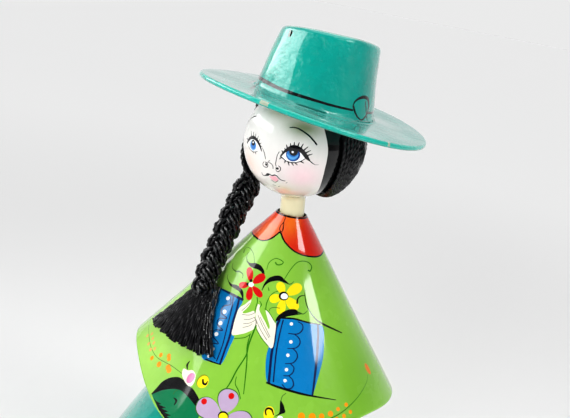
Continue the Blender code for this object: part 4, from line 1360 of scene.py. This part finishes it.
def hatPlace(chart):
    # The bend from crown to brim is eased over a small width
    reach = np.linalg.norm(chart, axis=-1)
    ahead = unit(chart)
    side, width = hatBends[3], 2.0 * hat["baseFillet"]
    place = hatFlat(chart)
    near = np.abs(reach - side) < width
    if near.any():
        t = ((reach[near] - side + width) / (2.0 * width))[:, None]
        above = hatFlat(ahead[near] * (side - width))
        bend = hatFlat(ahead[near] * side)
        below = hatFlat(ahead[near] * (side + width))
        place[near] = (1.0 - t) ** 2 * above + 2.0 * t * (1.0 - t) * bend + t ** 2 * below
    fade = np.clip((hatBends[4] - reach) / hat["edgeCalm"], 0.0, 1.0)
    lift = hat["wobbleUp"] * hatWobble(place) * fade
    swell = hat["wobbleOut"] * hatWobble(place + 40.0) * fade * (reach < side)
    return place + rows(ahead[:, 0] * swell, ahead[:, 1] * swell, lift)


def hatFront(turns):
    return np.where(np.cos(turns - math.radians(view["azimuth"])) > -0.1, hatBends[4], 0.0)


hatSurface = PaintedSurface(hatPlace, polarNet(0.5, hatBends[4], 2.5, hatFront))
hatPaint = Painting(hatSurface, "teal", hat["palette"])


# The band runs round the crown by real sizes, the bow and the marks are by the photograph's pixels
hatPaintwork = {
    "bandReach": 49.7,
    "bandEnds": (73.0, 412.0),
    "bandWidths": (1.0, 1.2, 1.3, 1.4, 1.5, 1.5, 1.6, 1.7, 1.75, 1.5, 1.1, 0.95),
    # The painted highlight round the crown's top edge: its reach and widths
    "edgeReach": 21.8,
    "edgeWidths": (0.9, 1.3, 0.8, 1.2, 0.7, 1.1, 0.9, 1.3, 0.9),
    "bowAndMarks": (
        ("line", "ink", (353.2, 105.2, 355.2, 101.4, 359.3, 98.4, 363.6, 97.2, 367.4, 98.4, 368.7, 103,
            368.2, 109.4, 366.2, 115.2, 362, 119.9, 358.2, 117.8, 355.2, 112.6, 353.4, 106.4),
            (0.5, 0.8, 1.2, 1.6, 1.5, 1.1, 0.9, 0.7, 0.6, 0.9, 1)),
        ("line", "ink", (365.2, 101.2, 365.9, 107, 366.3, 114, 367.2, 120.6), (0.4, 0.7, 0.4)),
        ("line", "faded", (350.9, 122, 356.8, 120.8, 365, 121.6, 373.6, 122.2), 0.4),
        ("line", "faded", (350.7, 123.7, 352.3, 128.4, 358, 131, 366.4, 131.4, 372, 129.4), 0.35),
        ("line", "ink", (250.2, 88.4, 254, 86.6, 257.8, 84.2, 259.8, 80.6), (0.9, 1.6, 1.1, 0.7)),
        ("line", "ink", (249.6, 82.8, 252.2, 81.6, 255, 80.4), (0.5, 0.9)),
        ("line", "dent", (290.3, 31, 289.4, 33.6, 288.9, 35.8), (1, 1.3)),
        ("line", "hole", (291.7, 31, 291.3, 33.6, 290.3, 35.8), (0.9, 1.2, 0.8)),
    ),
    # Paler and deeper places, painted light and shade: paler on the brim's front and sides as painted
    # reflection and on the crown's left as a painted highlight, deeper on the crown's right as painted shade.
    # Each is degrees from the front, reach, size, colour and strength
    "patches": (
        (8.0, 68.0, (26.0, 10.0), "A9DCD1", 1.0),
        (45.0, 70.0, (12.0, 9.0), "6CC3B6", 0.6),
        (-60.0, 68.0, (12.0, 12.0), "6CC3B6", 0.5),
        (72.0, 36.0, (5.0, 12.0), "008A80", 0.6),
        (-52.0, 38.0, (7.0, 10.0), "3CC9A8", 0.7),
    ),
    # Places round the brim's edge where the paint is chipped to the paper: degrees and half their width
    "chips": ((-8.2, 2.0), (52.0, 0.7), (148.0, 1.2), (232.0, 0.8)),
}


def paintHat():
    # The pale line round the crown's top edge is a painted highlight
    edge = circle(hatPaintwork["edgeReach"], 90)
    hatPaint.onChart().closedLine("edgeLight", edge, hatPaintwork["edgeWidths"])
    turns = np.radians(np.linspace(*hatPaintwork["bandEnds"], 110))
    band = hatPaintwork["bandReach"] * rows(np.sin(turns), -np.cos(turns))
    hatPaint.onChart().line("ink", band, hatPaintwork["bandWidths"], 1)
    hatPaint.fromPhoto().follow(hatPaintwork["bowAndMarks"])
    # The hat's painted reflection, highlight and shade
    for degrees, reach, size, color, strength in hatPaintwork["patches"]:
        turn = math.radians(degrees)
        hatPaint.wash("teal", (reach * math.sin(turn), -reach * math.cos(turn)), size, color, strength)
    rng = np.random.default_rng(hat["seed"])
    for _ in range(hat["patches"]):
        turn, reach = rng.uniform(0.0, fullTurn), rng.uniform(*hat["patchReach"])
        color = hat["patchPaints"][rng.integers(3)]
        spot = (reach * math.sin(turn), -reach * math.cos(turn))
        hatPaint.wash("teal", spot, rng.uniform(*hat["patchSize"], 2), color, hat["patchStrength"])


def buildHat(material):
    shell = Shell()
    creases = [circle(radius, 160) for radius in np.concatenate([
        np.linspace(hatBends[1], hatBends[2], 5),
        hatBends[3] + hat["baseFillet"] * np.array([-2.0, -1.0, 0.0, 1.0, 2.0]),
    ])]
    net = polarNet(1.5, hatBends[4] - 1.5, 2.4)
    loop, at = shell.addSheet(hatPaint, circle(hatBends[4], hat["edgePoints"]), [], net, creases)[0]
    teal, deep = hatPaint.palette["teal"], hatPaint.palette["deep"]
    ahead = unit(at)
    half = 0.5 * hat["brimThickness"]
    around = np.degrees(np.arctan2(ahead[:, 0], -ahead[:, 1]))
    # The rim's top and outer side is a brighter teal than the brim, a painted highlight along the edge; the
    # chips show the paper
    rim = np.tile(hatPaint.palette["rim"], (len(loop), 1))
    for middle, reach in hatPaintwork["chips"]:
        rim[np.abs((around - middle + 180.0) % 360.0 - 180.0) < reach] = hatPaint.palette["chip"]
    for angle in np.linspace(0.5 * math.pi, -0.5 * math.pi, 9)[1:]:
        radius = hat["brimRadius"] - half + half * math.cos(angle)
        color = rim if angle > -0.4 else teal
        loop = shell.addRing(loop, brimRing(ahead, radius, half * math.sin(angle)), color)
    inner = hat["crownBaseRadius"] - hat["crownWall"]
    foot = footRing(ahead, inner, -half)
    rim = brimRing(ahead, hat["brimRadius"] - half, -half, 0.0)
    curl = brimRing(ahead, hat["brimRadius"] - half, -half) - rim
    for share in np.linspace(1.0, 0.0, 9)[1:]:
        loop = shell.addRing(loop, foot + (rim - foot) * share + curl * share ** 2, teal)
    ceiling = hat["crownTop"] - hat["crownWall"]
    innerTop = hat["crownTopRadius"] - hat["crownWall"]
    shoulder = crownRing(ahead, innerTop, ceiling - 3.0)
    # The crown's inside is the darker teal, painted shade in its hollow
    for share in (0.25, 0.5, 0.75):
        loop = shell.addRing(loop, foot + (shoulder - foot) * share, deep)
    corner = ((innerTop, 1.7), (innerTop - 0.6, 0.5), (innerTop - 1.7, 0.0))
    for radius, drop in (*corner, (12.0, 0.0), (5.0, 0.0)):
        loop = shell.addRing(loop, crownRing(ahead, radius, ceiling - drop), deep)
    shell.closeAt(loop, (*crownHead, ceiling), deep)
    return shell.finish("hatShell", material)


# Hair: a lacquered pad with strings laid over it, one plait of three strands, and the loose tassel

hair = {
    "radius": 32.0,
    "napeRadius": 29.2,
    "frontLeft": 108.0,
    "frontRight": 258.0,
    "forward": 21.0,
    "frontShare": 0.16,
    "backShare": 0.06,
    "edgeShare": 0.1,
    "edgeDrop": 3.0,
    "gap": 0.3,
    "brimClear": 0.2,
    "ballClear": 0.35,
    # The path's middle points and end, in degrees: at the first lock, added by the last, added outside it
    "turns": ((-24.0, 25.0, 0.0), (-24.0, 36.0, 12.0)),
    "endTurn": (268.0, 12.0, 8.0),
    "rises": ((-54.0, 46.0, 0.0), (-84.0, 64.0, 2.0), (-57.0, 26.0, -12.0)),
    "strings": 52,
    "stringRadius": 1.1,
    "twist": 9.0,
    "padInset": 1.5,
    "padColumns": 72,
    "padSteps": 26,
    "steps": 46,
}


def hairPlace(turn, rise, radius):
    flat = np.cos(rise) * radius
    return headToWorld(rows(flat * np.sin(turn), -flat * np.cos(turn), head["rise"] + radius * np.sin(rise)))


def outerHairRadius(rise):
    above = hair["radius"] / np.cos(np.clip(rise, 0.0, 1.2)) ** 0.8
    share = np.clip(rise / math.radians(-60.0), 0.0, 1.0)
    below = hair["radius"] + (hair["napeRadius"] - hair["radius"]) * share
    return np.where(rise > 0.0, above, below)


def bezier(values, t):
    a, b, c, d = values
    s = 1.0 - t
    return s ** 3 * a + 3.0 * s * s * t * b + 3.0 * s * t * t * c + t ** 3 * d


def hairTop(turn, inset):
    # How far up the head a string may start, so that it ends just under the brim
    rises = np.radians(np.linspace(0.0, 70.0, 400))
    places = hairPlace(turn, rises, outerHairRadius(rises) - inset)
    under = -0.5 * hat["brimThickness"] - hair["gap"] - hair["brimClear"]
    clear = places[:, 2] < brimHeight(places, under)
    return rises[np.argmin(clear) - 1]


def lockPath(across, inset, steps):
    # The first locks hang down before they round the nape. Those before 0 thin out over the ball
    # towards the face, and those after 1 run down outside the last ones into the plait.
    t = np.linspace(0.0, 1.0, steps)
    before = max(0.0, -across) / hair["frontShare"]
    after = max(0.0, across - 1.0) / hair["backShare"]
    across = min(1.0, max(0.0, across))
    first, last = (math.radians(hair[key]) for key in ("frontLeft", "frontRight"))
    start = first + (last - first) * across
    mix = np.array((1.0, across, after))
    middle = start + np.radians(np.array(hair["turns"]) @ mix)
    turns = (start, *middle, np.radians(np.array(hair["endTurn"]) @ mix))
    rises = (hairTop(start, inset), *np.radians(np.array(hair["rises"]) @ mix))
    height = bezier(rises, t)
    turn = bezier(turns, t) - math.radians(hair["forward"]) * before * (1.0 - t)
    radius = outerHairRadius(height) - inset + 2.0 * after * t ** 2
    onBall = head["radius"] + hair["ballClear"] + max(0.0, 2.0 * hair["stringRadius"] - inset)
    radius += (onBall - radius) * min(1.0, before) ** 1.4 * (1.0 - t ** 6)
    thinner = max(0.0, 1.0 - (1.0 - across) / hair["edgeShare"]) * np.clip(1.0 - t / 0.7, 0.0, 1.0)
    return hairPlace(turn, height, radius - hair["edgeDrop"] * thinner)


plait = {
    "route": (
        (-22.5, 4.0, 191.0),
        (-23.9, 0.9, 184.7),
        (-25.0, -2.7, 177.9),
        (-26.5, -7.8, 168.4),
        (-27.6, -14.2, 156.8),
        (-28.4, -20.7, 147.0),
        (-27.6, -27.6, 138.8),
        (-26.6, -31.8, 134.2),
    ),
    "strandRadius": 3.2,
    "halfWidth": 3.6,
    "halfDepth": 1.9,
    "pitch": 22.5,
    "rootShare": 0.55,
    "gatherShare": 1.0 / 7.0,
    "facingRoot": -2.0,
    "facingEnd": -32.0,
    "stringsPerStrand": 6,
    "stringRadius": 1.12,
    "twist": 9.0,
    "stringTurn": 30.0,
    "steps": 150,
}


def plaitFrames():
    route = smoothLine(plait["route"], 24)
    lengths = np.concatenate([[0.0], np.cumsum(np.linalg.norm(np.diff(route, axis=0), axis=1))])
    shares = np.linspace(0.0, 1.0, plait["steps"])
    here = rows(*(np.interp(shares * lengths[-1], lengths, route[:, k]) for k in range(3)))
    ahead = unit(np.gradient(here, axis=0))
    facing = np.radians(plait["facingRoot"] + (plait["facingEnd"] - plait["facingRoot"]) * shares)
    outward = rows(np.sin(facing), -np.cos(facing), 0.0)
    width = unit(np.cross(ahead, outward))
    depth = np.cross(width, ahead)
    return here, width, depth, shares, shares * lengths[-1]


def plaitStrings():
    here, width, depth, shares, length = plaitFrames()
    opened = np.minimum(1.0, shares / plait["gatherShare"])
    gather = plait["rootShare"] + (1.0 - plait["rootShare"]) * opened
    made = []
    for strand in range(3):
        phase = fullTurn * (length / plait["pitch"] + strand / 3.0)
        x, y = plait["halfWidth"] * np.sin(phase), plait["halfDepth"] * np.sin(2.0 * phase)
        middle = here + (gather * x)[:, None] * width + (gather * y)[:, None] * depth
        along = unit(np.gradient(middle, axis=0))
        aside = unit(np.cross(along, depth))
        above = np.cross(aside, along)
        ring = plait["strandRadius"] - plait["stringRadius"]
        for k in range(plait["stringsPerStrand"]):
            turn = fullTurn * (k / plait["stringsPerStrand"] + length / plait["stringTurn"])
            outward = np.cos(turn)[:, None] * aside + np.sin(turn)[:, None] * above
            made.append(middle + (gather * ring)[:, None] * outward)
    return made


tassel = {
    "rootAngle": -38.5,
    "rootDrop": 38.5,
    "rootSpread": 10.0,
    "leftAngle": -10.5,
    "rightAngle": -64.0,
    "drop": 66.5,
    "rootThickness": 9.0,
    "tipThickness": 4.2,
    "layers": (30, 26, 22),
    "lowest": 2.2,
    "clear": 0.6,
    "sideShare": 0.35,
    "jitter": (-0.3, 0.3),
    "shorter": (0.0, 0.07),
    "sway": (-0.9, 0.9),
    "swayTurns": (3.0, 6.0),
    "stringRadius": 1.0,
    "twist": 22.0,
    "steps": 24,
    "seed": 21,
}


def tasselStrings():
    rng = np.random.default_rng(tassel["seed"])
    made = []
    for layer, count in enumerate(tassel["layers"]):
        for k in range(count):
            across = np.clip((k + 0.5 + rng.uniform(*tassel["jitter"])) / count, 0.0, 1.0)
            down = np.linspace(0.0, 1.0 - rng.uniform(*tassel["shorter"]), tassel["steps"])
            rootAngle = tassel["rootAngle"] + tassel["rootSpread"] * (0.5 - across)
            tipAngle = tassel["leftAngle"] + (tassel["rightAngle"] - tassel["leftAngle"]) * across
            wave = rng.uniform(*tassel["sway"]) * np.sin(down * rng.uniform(*tassel["swayTurns"])) * down
            angle = np.radians(rootAngle + (tipAngle - rootAngle) * down + wave)
            drop = tassel["rootDrop"] + (tassel["drop"] - tassel["rootDrop"]) * down
            thinned = (tassel["tipThickness"] - tassel["rootThickness"]) * down ** 0.7
            thickness = tassel["rootThickness"] + thinned
            dome = math.sqrt(max(0.0, 1.0 - (2.0 * across - 1.0) ** 6))
            side = tassel["sideShare"]
            top = thickness * (side + (1.0 - side) * dome) - tassel["stringRadius"]
            share = 1.0 - layer / tassel["lowest"]
            lift = tassel["clear"] + tassel["stringRadius"] + (top - tassel["stringRadius"]) * share
            made.append(ponchoPlace(angle, drop, lift))
    return made


stringInputs = (
    ("String Radius", "NodeSocketFloat", 0.001),
    ("Yarn Depth", "NodeSocketFloat", 0.22),
    ("Twist Length", "NodeSocketFloat", 0.009),
    ("Points Round", "NodeSocketInt", 9),
    ("Seed", "NodeSocketInt", 4),
)
yarns = 3.0


def stringTree(material):
    # Geometry Nodes: each path becomes a twisted string of three yarns with closed ends
    group = bpy.data.node_groups.new("laidString", "GeometryNodeTree")
    group.interface.new_socket("Paths", in_out="INPUT", socket_type="NodeSocketGeometry")
    inputs = {}
    for name, kind, value in stringInputs:
        socket = group.interface.new_socket(name, in_out="INPUT", socket_type=kind)
        socket.default_value = value
        inputs[name] = socket.identifier
    group.interface.new_socket("Strings", in_out="OUTPUT", socket_type="NodeSocketGeometry")
    tree = NodeTree(group)
    start = group.nodes.new("NodeGroupInput")
    given = {socket.name: Value(tree, socket) for socket in start.outputs}

    curves = tree.add("GeometryNodeMeshToCurve", {}, {"Mesh": given["Paths"]})
    along = tree.add("GeometryNodeSplineParameter", output="Length")
    random = {3: fullTurn, "ID": tree.add("GeometryNodeCurveOfPoint"), "Seed": given["Seed"]}
    phase = tree.add("FunctionNodeRandomValue", {"data_type": "FLOAT"}, random, 1)
    tilt = along.work("DIVIDE", along, given["Twist Length"]) * fullTurn + phase
    curves = tree.add("GeometryNodeSetCurveTilt", {}, {"Curve": curves, "Tilt": tilt})
    profile = tree.add("GeometryNodeCurvePrimitiveCircle", {}, {"Resolution": given["Points Round"]})
    turn = tree.add("GeometryNodeSplineParameter", output="Factor") * (yarns * fullTurn)
    lobe = turn.work("COSINE", turn) * given["Yarn Depth"] + (1.0 - given["Yarn Depth"])
    place = tree.add("GeometryNodeInputPosition")
    size = lobe * given["String Radius"]
    scaled = tree.add("ShaderNodeVectorMath", {"operation": "SCALE"}, {0: place, "Scale": size})
    profile = tree.add("GeometryNodeSetPosition", {}, {"Geometry": profile, "Position": scaled})
    sweep = {"Curve": curves, "Profile Curve": profile, "Fill Caps": True}
    body = tree.add("GeometryNodeCurveToMesh", {}, sweep)
    body = tree.add("GeometryNodeSetShadeSmooth", {}, {"Geometry": body, "Shade Smooth": True})
    body = tree.add("GeometryNodeRealizeInstances", {}, {"Geometry": body})
    body = tree.add("GeometryNodeSetMaterial", {}, {"Geometry": body, "Material": material})
    end = group.nodes.new("NodeGroupOutput")
    tree.feed(end.inputs[0], body)
    return group, inputs


def layStrings(name, paths, facts, tree, inputs):
    points, edges = [], []
    for path in paths:
        start = len(points)
        points.extend(path * metre)
        edges += [(i, i + 1) for i in range(start, len(points) - 1)]
    guide = bpy.data.meshes.new(name + "Paths")
    guide.from_pydata([tuple(point) for point in points], edges, [])
    item = bpy.data.objects.new(name, guide)
    bpy.context.scene.collection.objects.link(item)
    modifier = item.modifiers.new("strings", "NODES")
    modifier.node_group = tree
    modifier[inputs["String Radius"]] = facts["stringRadius"] * metre
    modifier[inputs["Twist Length"]] = facts["twist"] * metre
    mesh = bpy.data.meshes.new_from_object(item.evaluated_get(bpy.context.evaluated_depsgraph_get()))
    item.modifiers.remove(modifier)
    item.data = mesh
    mesh.name = name
    print(name, "has", sum(len(face.vertices) - 2 for face in mesh.polygons), "triangles")
    return item


def hairLacquer():
    # Deep black with beads of lacquer that catch the window
    tree = ShaderTree("lacqueredString")
    tones = {"Factor": tree.noise(500.0), 6: (0.001, 0.001, 0.0015), 7: (0.006, 0.006, 0.008)}
    beads = tree.bump(tree.noise(750.0, 1.5), 0.0007, 1.0)
    fibre = tree.bump(tree.noise(3200.0, 1.0), 0.0002, 0.5, {"Normal": beads})
    return tree.finish({
        "Base Color": tree.add("ShaderNodeMix", {"data_type": "RGBA"}, tones, 2),
        "Roughness": 0.3 + 0.2 * tree.noise(700.0),
        "Specular IOR Level": 0.15,
        "Coat Weight": 1.0,
        "Coat Roughness": 0.02,
        "Normal": fibre,
    })


def buildHairPad(material):
    # The glued layer under the strings, from the ball out to the strings' middle
    columns, steps = hair["padColumns"], hair["padSteps"]
    shares = np.linspace(-hair["frontShare"], 1.0 + hair["backShare"], columns + 1)
    outer = [lockPath(share, hair["padInset"], steps) for share in shares]
    inner = [lockPath(share, hair["radius"] - head["radius"] - 0.5, steps) for share in shares]
    for column in inner:
        away = column - headCentre
        away *= (head["radius"] + hair["ballClear"]) / np.linalg.norm(away, axis=1, keepdims=True)
        column[:] = headCentre + away
    shell = Shell()
    shell.points = [point for column in outer + inner for point in column]
    shell.normals = list(np.zeros((len(shell.points), 3)))
    under = (columns + 1) * steps

    def quad(a, b, c, d):
        # Corners are (column, step, layer), where layer 1 is the inner one
        shell.faces.append([column * steps + step + layer * under for column, step, layer in (a, b, c, d)])
        shell.colors.append(np.zeros((4, 3)))

    last = steps - 1
    for j in range(columns):
        for i in range(last):
            quad((j, i, 0), (j, i + 1, 0), (j + 1, i + 1, 0), (j + 1, i, 0))
            quad((j, i, 1), (j + 1, i, 1), (j + 1, i + 1, 1), (j, i + 1, 1))
        quad((j, 0, 0), (j + 1, 0, 0), (j + 1, 0, 1), (j, 0, 1))
        quad((j, last, 0), (j, last, 1), (j + 1, last, 1), (j + 1, last, 0))
    for i in range(last):
        quad((0, i, 0), (0, i, 1), (0, i + 1, 1), (0, i + 1, 0))
        quad((columns, i, 0), (columns, i + 1, 0), (columns, i + 1, 1), (columns, i, 1))
    return shell.finish("hairPad", material)


# Build everything

lacquered = lacqueredPaint("lacqueredPaint", lacquer)
hatMaterial = lacqueredPaint("lacqueredHat", hatLacquer)
stringMaterial = hairLacquer()

paintHead()
paintPoncho()
paintSkirt()
paintHat()
print("paint is laid out")
skirtPiece = buildSkirt(lacquered)
ponchoPiece = buildPoncho(lacquered)
headPiece = buildHead(lacquered)
hatPiece = buildHat(hatMaterial)
print("painted pieces are built")

tree, inputs = stringTree(stringMaterial)
padPiece = buildHairPad(stringMaterial)
capPaths = [lockPath(share, hair["stringRadius"], hair["steps"])
            for share in np.linspace(-hair["frontShare"], 1.0 + hair["backShare"], hair["strings"])]
capPiece = layStrings("hairStrings", capPaths, hair, tree, inputs)
plaitPiece = layStrings("plaitStrings", plaitStrings(), plait, tree, inputs)
tasselPiece = layStrings("tasselStrings", tasselStrings(), tassel, tree, inputs)
print("hair is laid")

for piece, node, slot in (
    (skirtPiece, "body", "body_paint"),
    (ponchoPiece, "poncho", "poncho_paint"),
    (headPiece, "head", "skin_paint"),
    (hatPiece, "hat", "hat_paint"),
    (padPiece, "hair", "hair_string"),
    (capPiece, "hair", "hair_string"),
    (plaitPiece, "hair", "hair_string"),
    (tasselPiece, "hair", "hair_string"),
):
    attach(piece, "root")
    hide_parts(node)


# Studio: a pale floor and a white surround, bright at the left and overhead and dim in front, with a
# window at the left and a small light at the right

studio = {
    "floorRadius": 20.0,
    "floorNear": 0.8,
    "floorFar": 0.95,
    "shadeReach": (0.1, 1.3),
    # Degrees from the front towards the right, and the surround's brightness there
    "surround": ((-180, 0.7), (-138, 0.7), (-112, 0.26), (-62, 0.16), (-38, 0.1), (-20, 0.08), (90, 0.08),
                 (116, 0.36), (142, 0.7), (180, 0.7)),
    "brightest": 0.7,
    "overhead": 1.6,
    # How high above the horizon the overhead part starts and is full, in degrees
    "overheadFrom": 48.0,
    "overheadFull": 64.0,
    # Each light's direction from the front, distance, height and height of its aim, size and power. The first
    # two only show in the lacquer, the others only light the paint.
    "lights": {
        "window": {"azimuth": -79.0, "distance": 0.55, "height": 0.465, "aim": 0.45, "size": (0.78, 0.29),
                   "power": 2.8, "roll": 5.0, "lights": False},
        "lamp": {"azimuth": 62.0, "distance": 0.83, "height": 0.8, "aim": 0.14, "size": (0.3, 0.2),
                 "power": 1.9, "lights": False},
        "front": {"azimuth": -8.0, "distance": 1.0, "height": 0.3, "aim": 0.19, "size": (0.3, 0.2),
                  "power": 0.5, "spread": 60.0, "shows": False},
        "left": {"azimuth": -65.0, "distance": 0.9, "height": 0.5, "aim": 0.18, "size": (0.3, 0.3),
                 "power": 0.42, "spread": 60.0, "shows": False},
        "right": {"azimuth": 75.0, "distance": 0.9, "height": 0.5, "aim": 0.18, "size": (0.3, 0.3),
                  "power": 0.3, "spread": 60.0, "shows": False},
    },
}


def addFloor():
    edge = circle(studio["floorRadius"], 64)
    mesh = bpy.data.meshes.new("paleFloor")
    mesh.from_pydata([(x, y, 0.0) for x, y in edge], [], [list(range(len(edge)))])
    tree = ShaderTree("paleFloor")
    # The lights fall mostly near the figure, so the floor is a little deeper there
    place = tree.add("ShaderNodeTexCoord", output="Object")
    reach = tree.add("ShaderNodeVectorMath", {"operation": "LENGTH"}, {0: place}, "Value")
    shade = tree.add("ShaderNodeMapRange", {"interpolation_type": "SMOOTHSTEP"}, {
        "Value": reach, "From Min": studio["shadeReach"][0], "From Max": studio["shadeReach"][1],
        "To Min": studio["floorNear"], "To Max": studio["floorFar"]})
    mesh.materials.append(tree.finish({"Base Color": shade, "Roughness": 1.0, "Specular IOR Level": 0.0}))
    floor = bpy.data.objects.new("paleFloor", mesh)
    bpy.context.scene.collection.objects.link(floor)


def addSoftLight(name, facts):
    data = bpy.data.lights.new(name, "AREA")
    data.shape = "RECTANGLE"
    data.size, data.size_y = facts["size"]
    data.energy = facts["power"]
    data.spread = math.radians(facts.get("spread", 180.0))
    item = bpy.data.objects.new(name, data)
    azimuth, distance = math.radians(facts["azimuth"]), facts["distance"]
    away = Vector((math.sin(azimuth) * distance, -math.cos(azimuth) * distance, facts["height"]))
    item.location = away
    item.rotation_euler = (away - Vector((0.0, 0.0, facts["aim"]))).to_track_quat("Z", "Y").to_euler()
    item.rotation_euler.rotate_axis("Z", math.radians(facts.get("roll", 0.0)))
    item.visible_glossy = facts.get("shows", True)
    item.visible_diffuse = facts.get("lights", True)
    bpy.context.scene.collection.objects.link(item)


def setWorld():
    world = bpy.data.worlds.new("studio")
    bpy.context.scene.world = world
    world.use_nodes = True
    tree = NodeTree(world.node_tree)
    where = tree.add("ShaderNodeTexCoord", output="Generated")
    x, y, z = (tree.add("ShaderNodeSeparateXYZ", {}, {0: where}, axis) for axis in "XYZ")
    share = x.work("ARCTAN2", x, -1.0 * y) * (1.0 / fullTurn) + 0.5
    ramp = world.node_tree.nodes.new("ShaderNodeValToRGB")
    tree.feed(ramp.inputs[0], share)
    stops = ramp.color_ramp.elements
    while len(stops) < len(studio["surround"]):
        stops.new(1.0)
    for stop, (degrees, level) in zip(stops, studio["surround"]):
        stop.position = degrees / 360.0 + 0.5
        stop.color = (*[level / studio["brightest"]] * 3, 1.0)
    band = studio["brightest"] * Value(tree, ramp.outputs[0])
    rise = tree.add("ShaderNodeMapRange", {"interpolation_type": "SMOOTHSTEP"}, {
        "Value": z, "From Min": math.sin(math.radians(studio["overheadFrom"])),
        "From Max": math.sin(math.radians(studio["overheadFull"]))})
    background = world.node_tree.nodes["Background"]
    tree.feed(background.inputs["Strength"], band + rise * (studio["overhead"] - band))
    tree.feed(background.inputs["Color"], (1.0, 1.0, 1.0))


addFloor()
setWorld()
for name, facts in studio["lights"].items():
    addSoftLight(name, facts)
bpy.context.scene.view_settings.view_transform = "Standard"
bpy.context.scene.view_settings.look = "Medium High Contrast"
print("studio is lit")
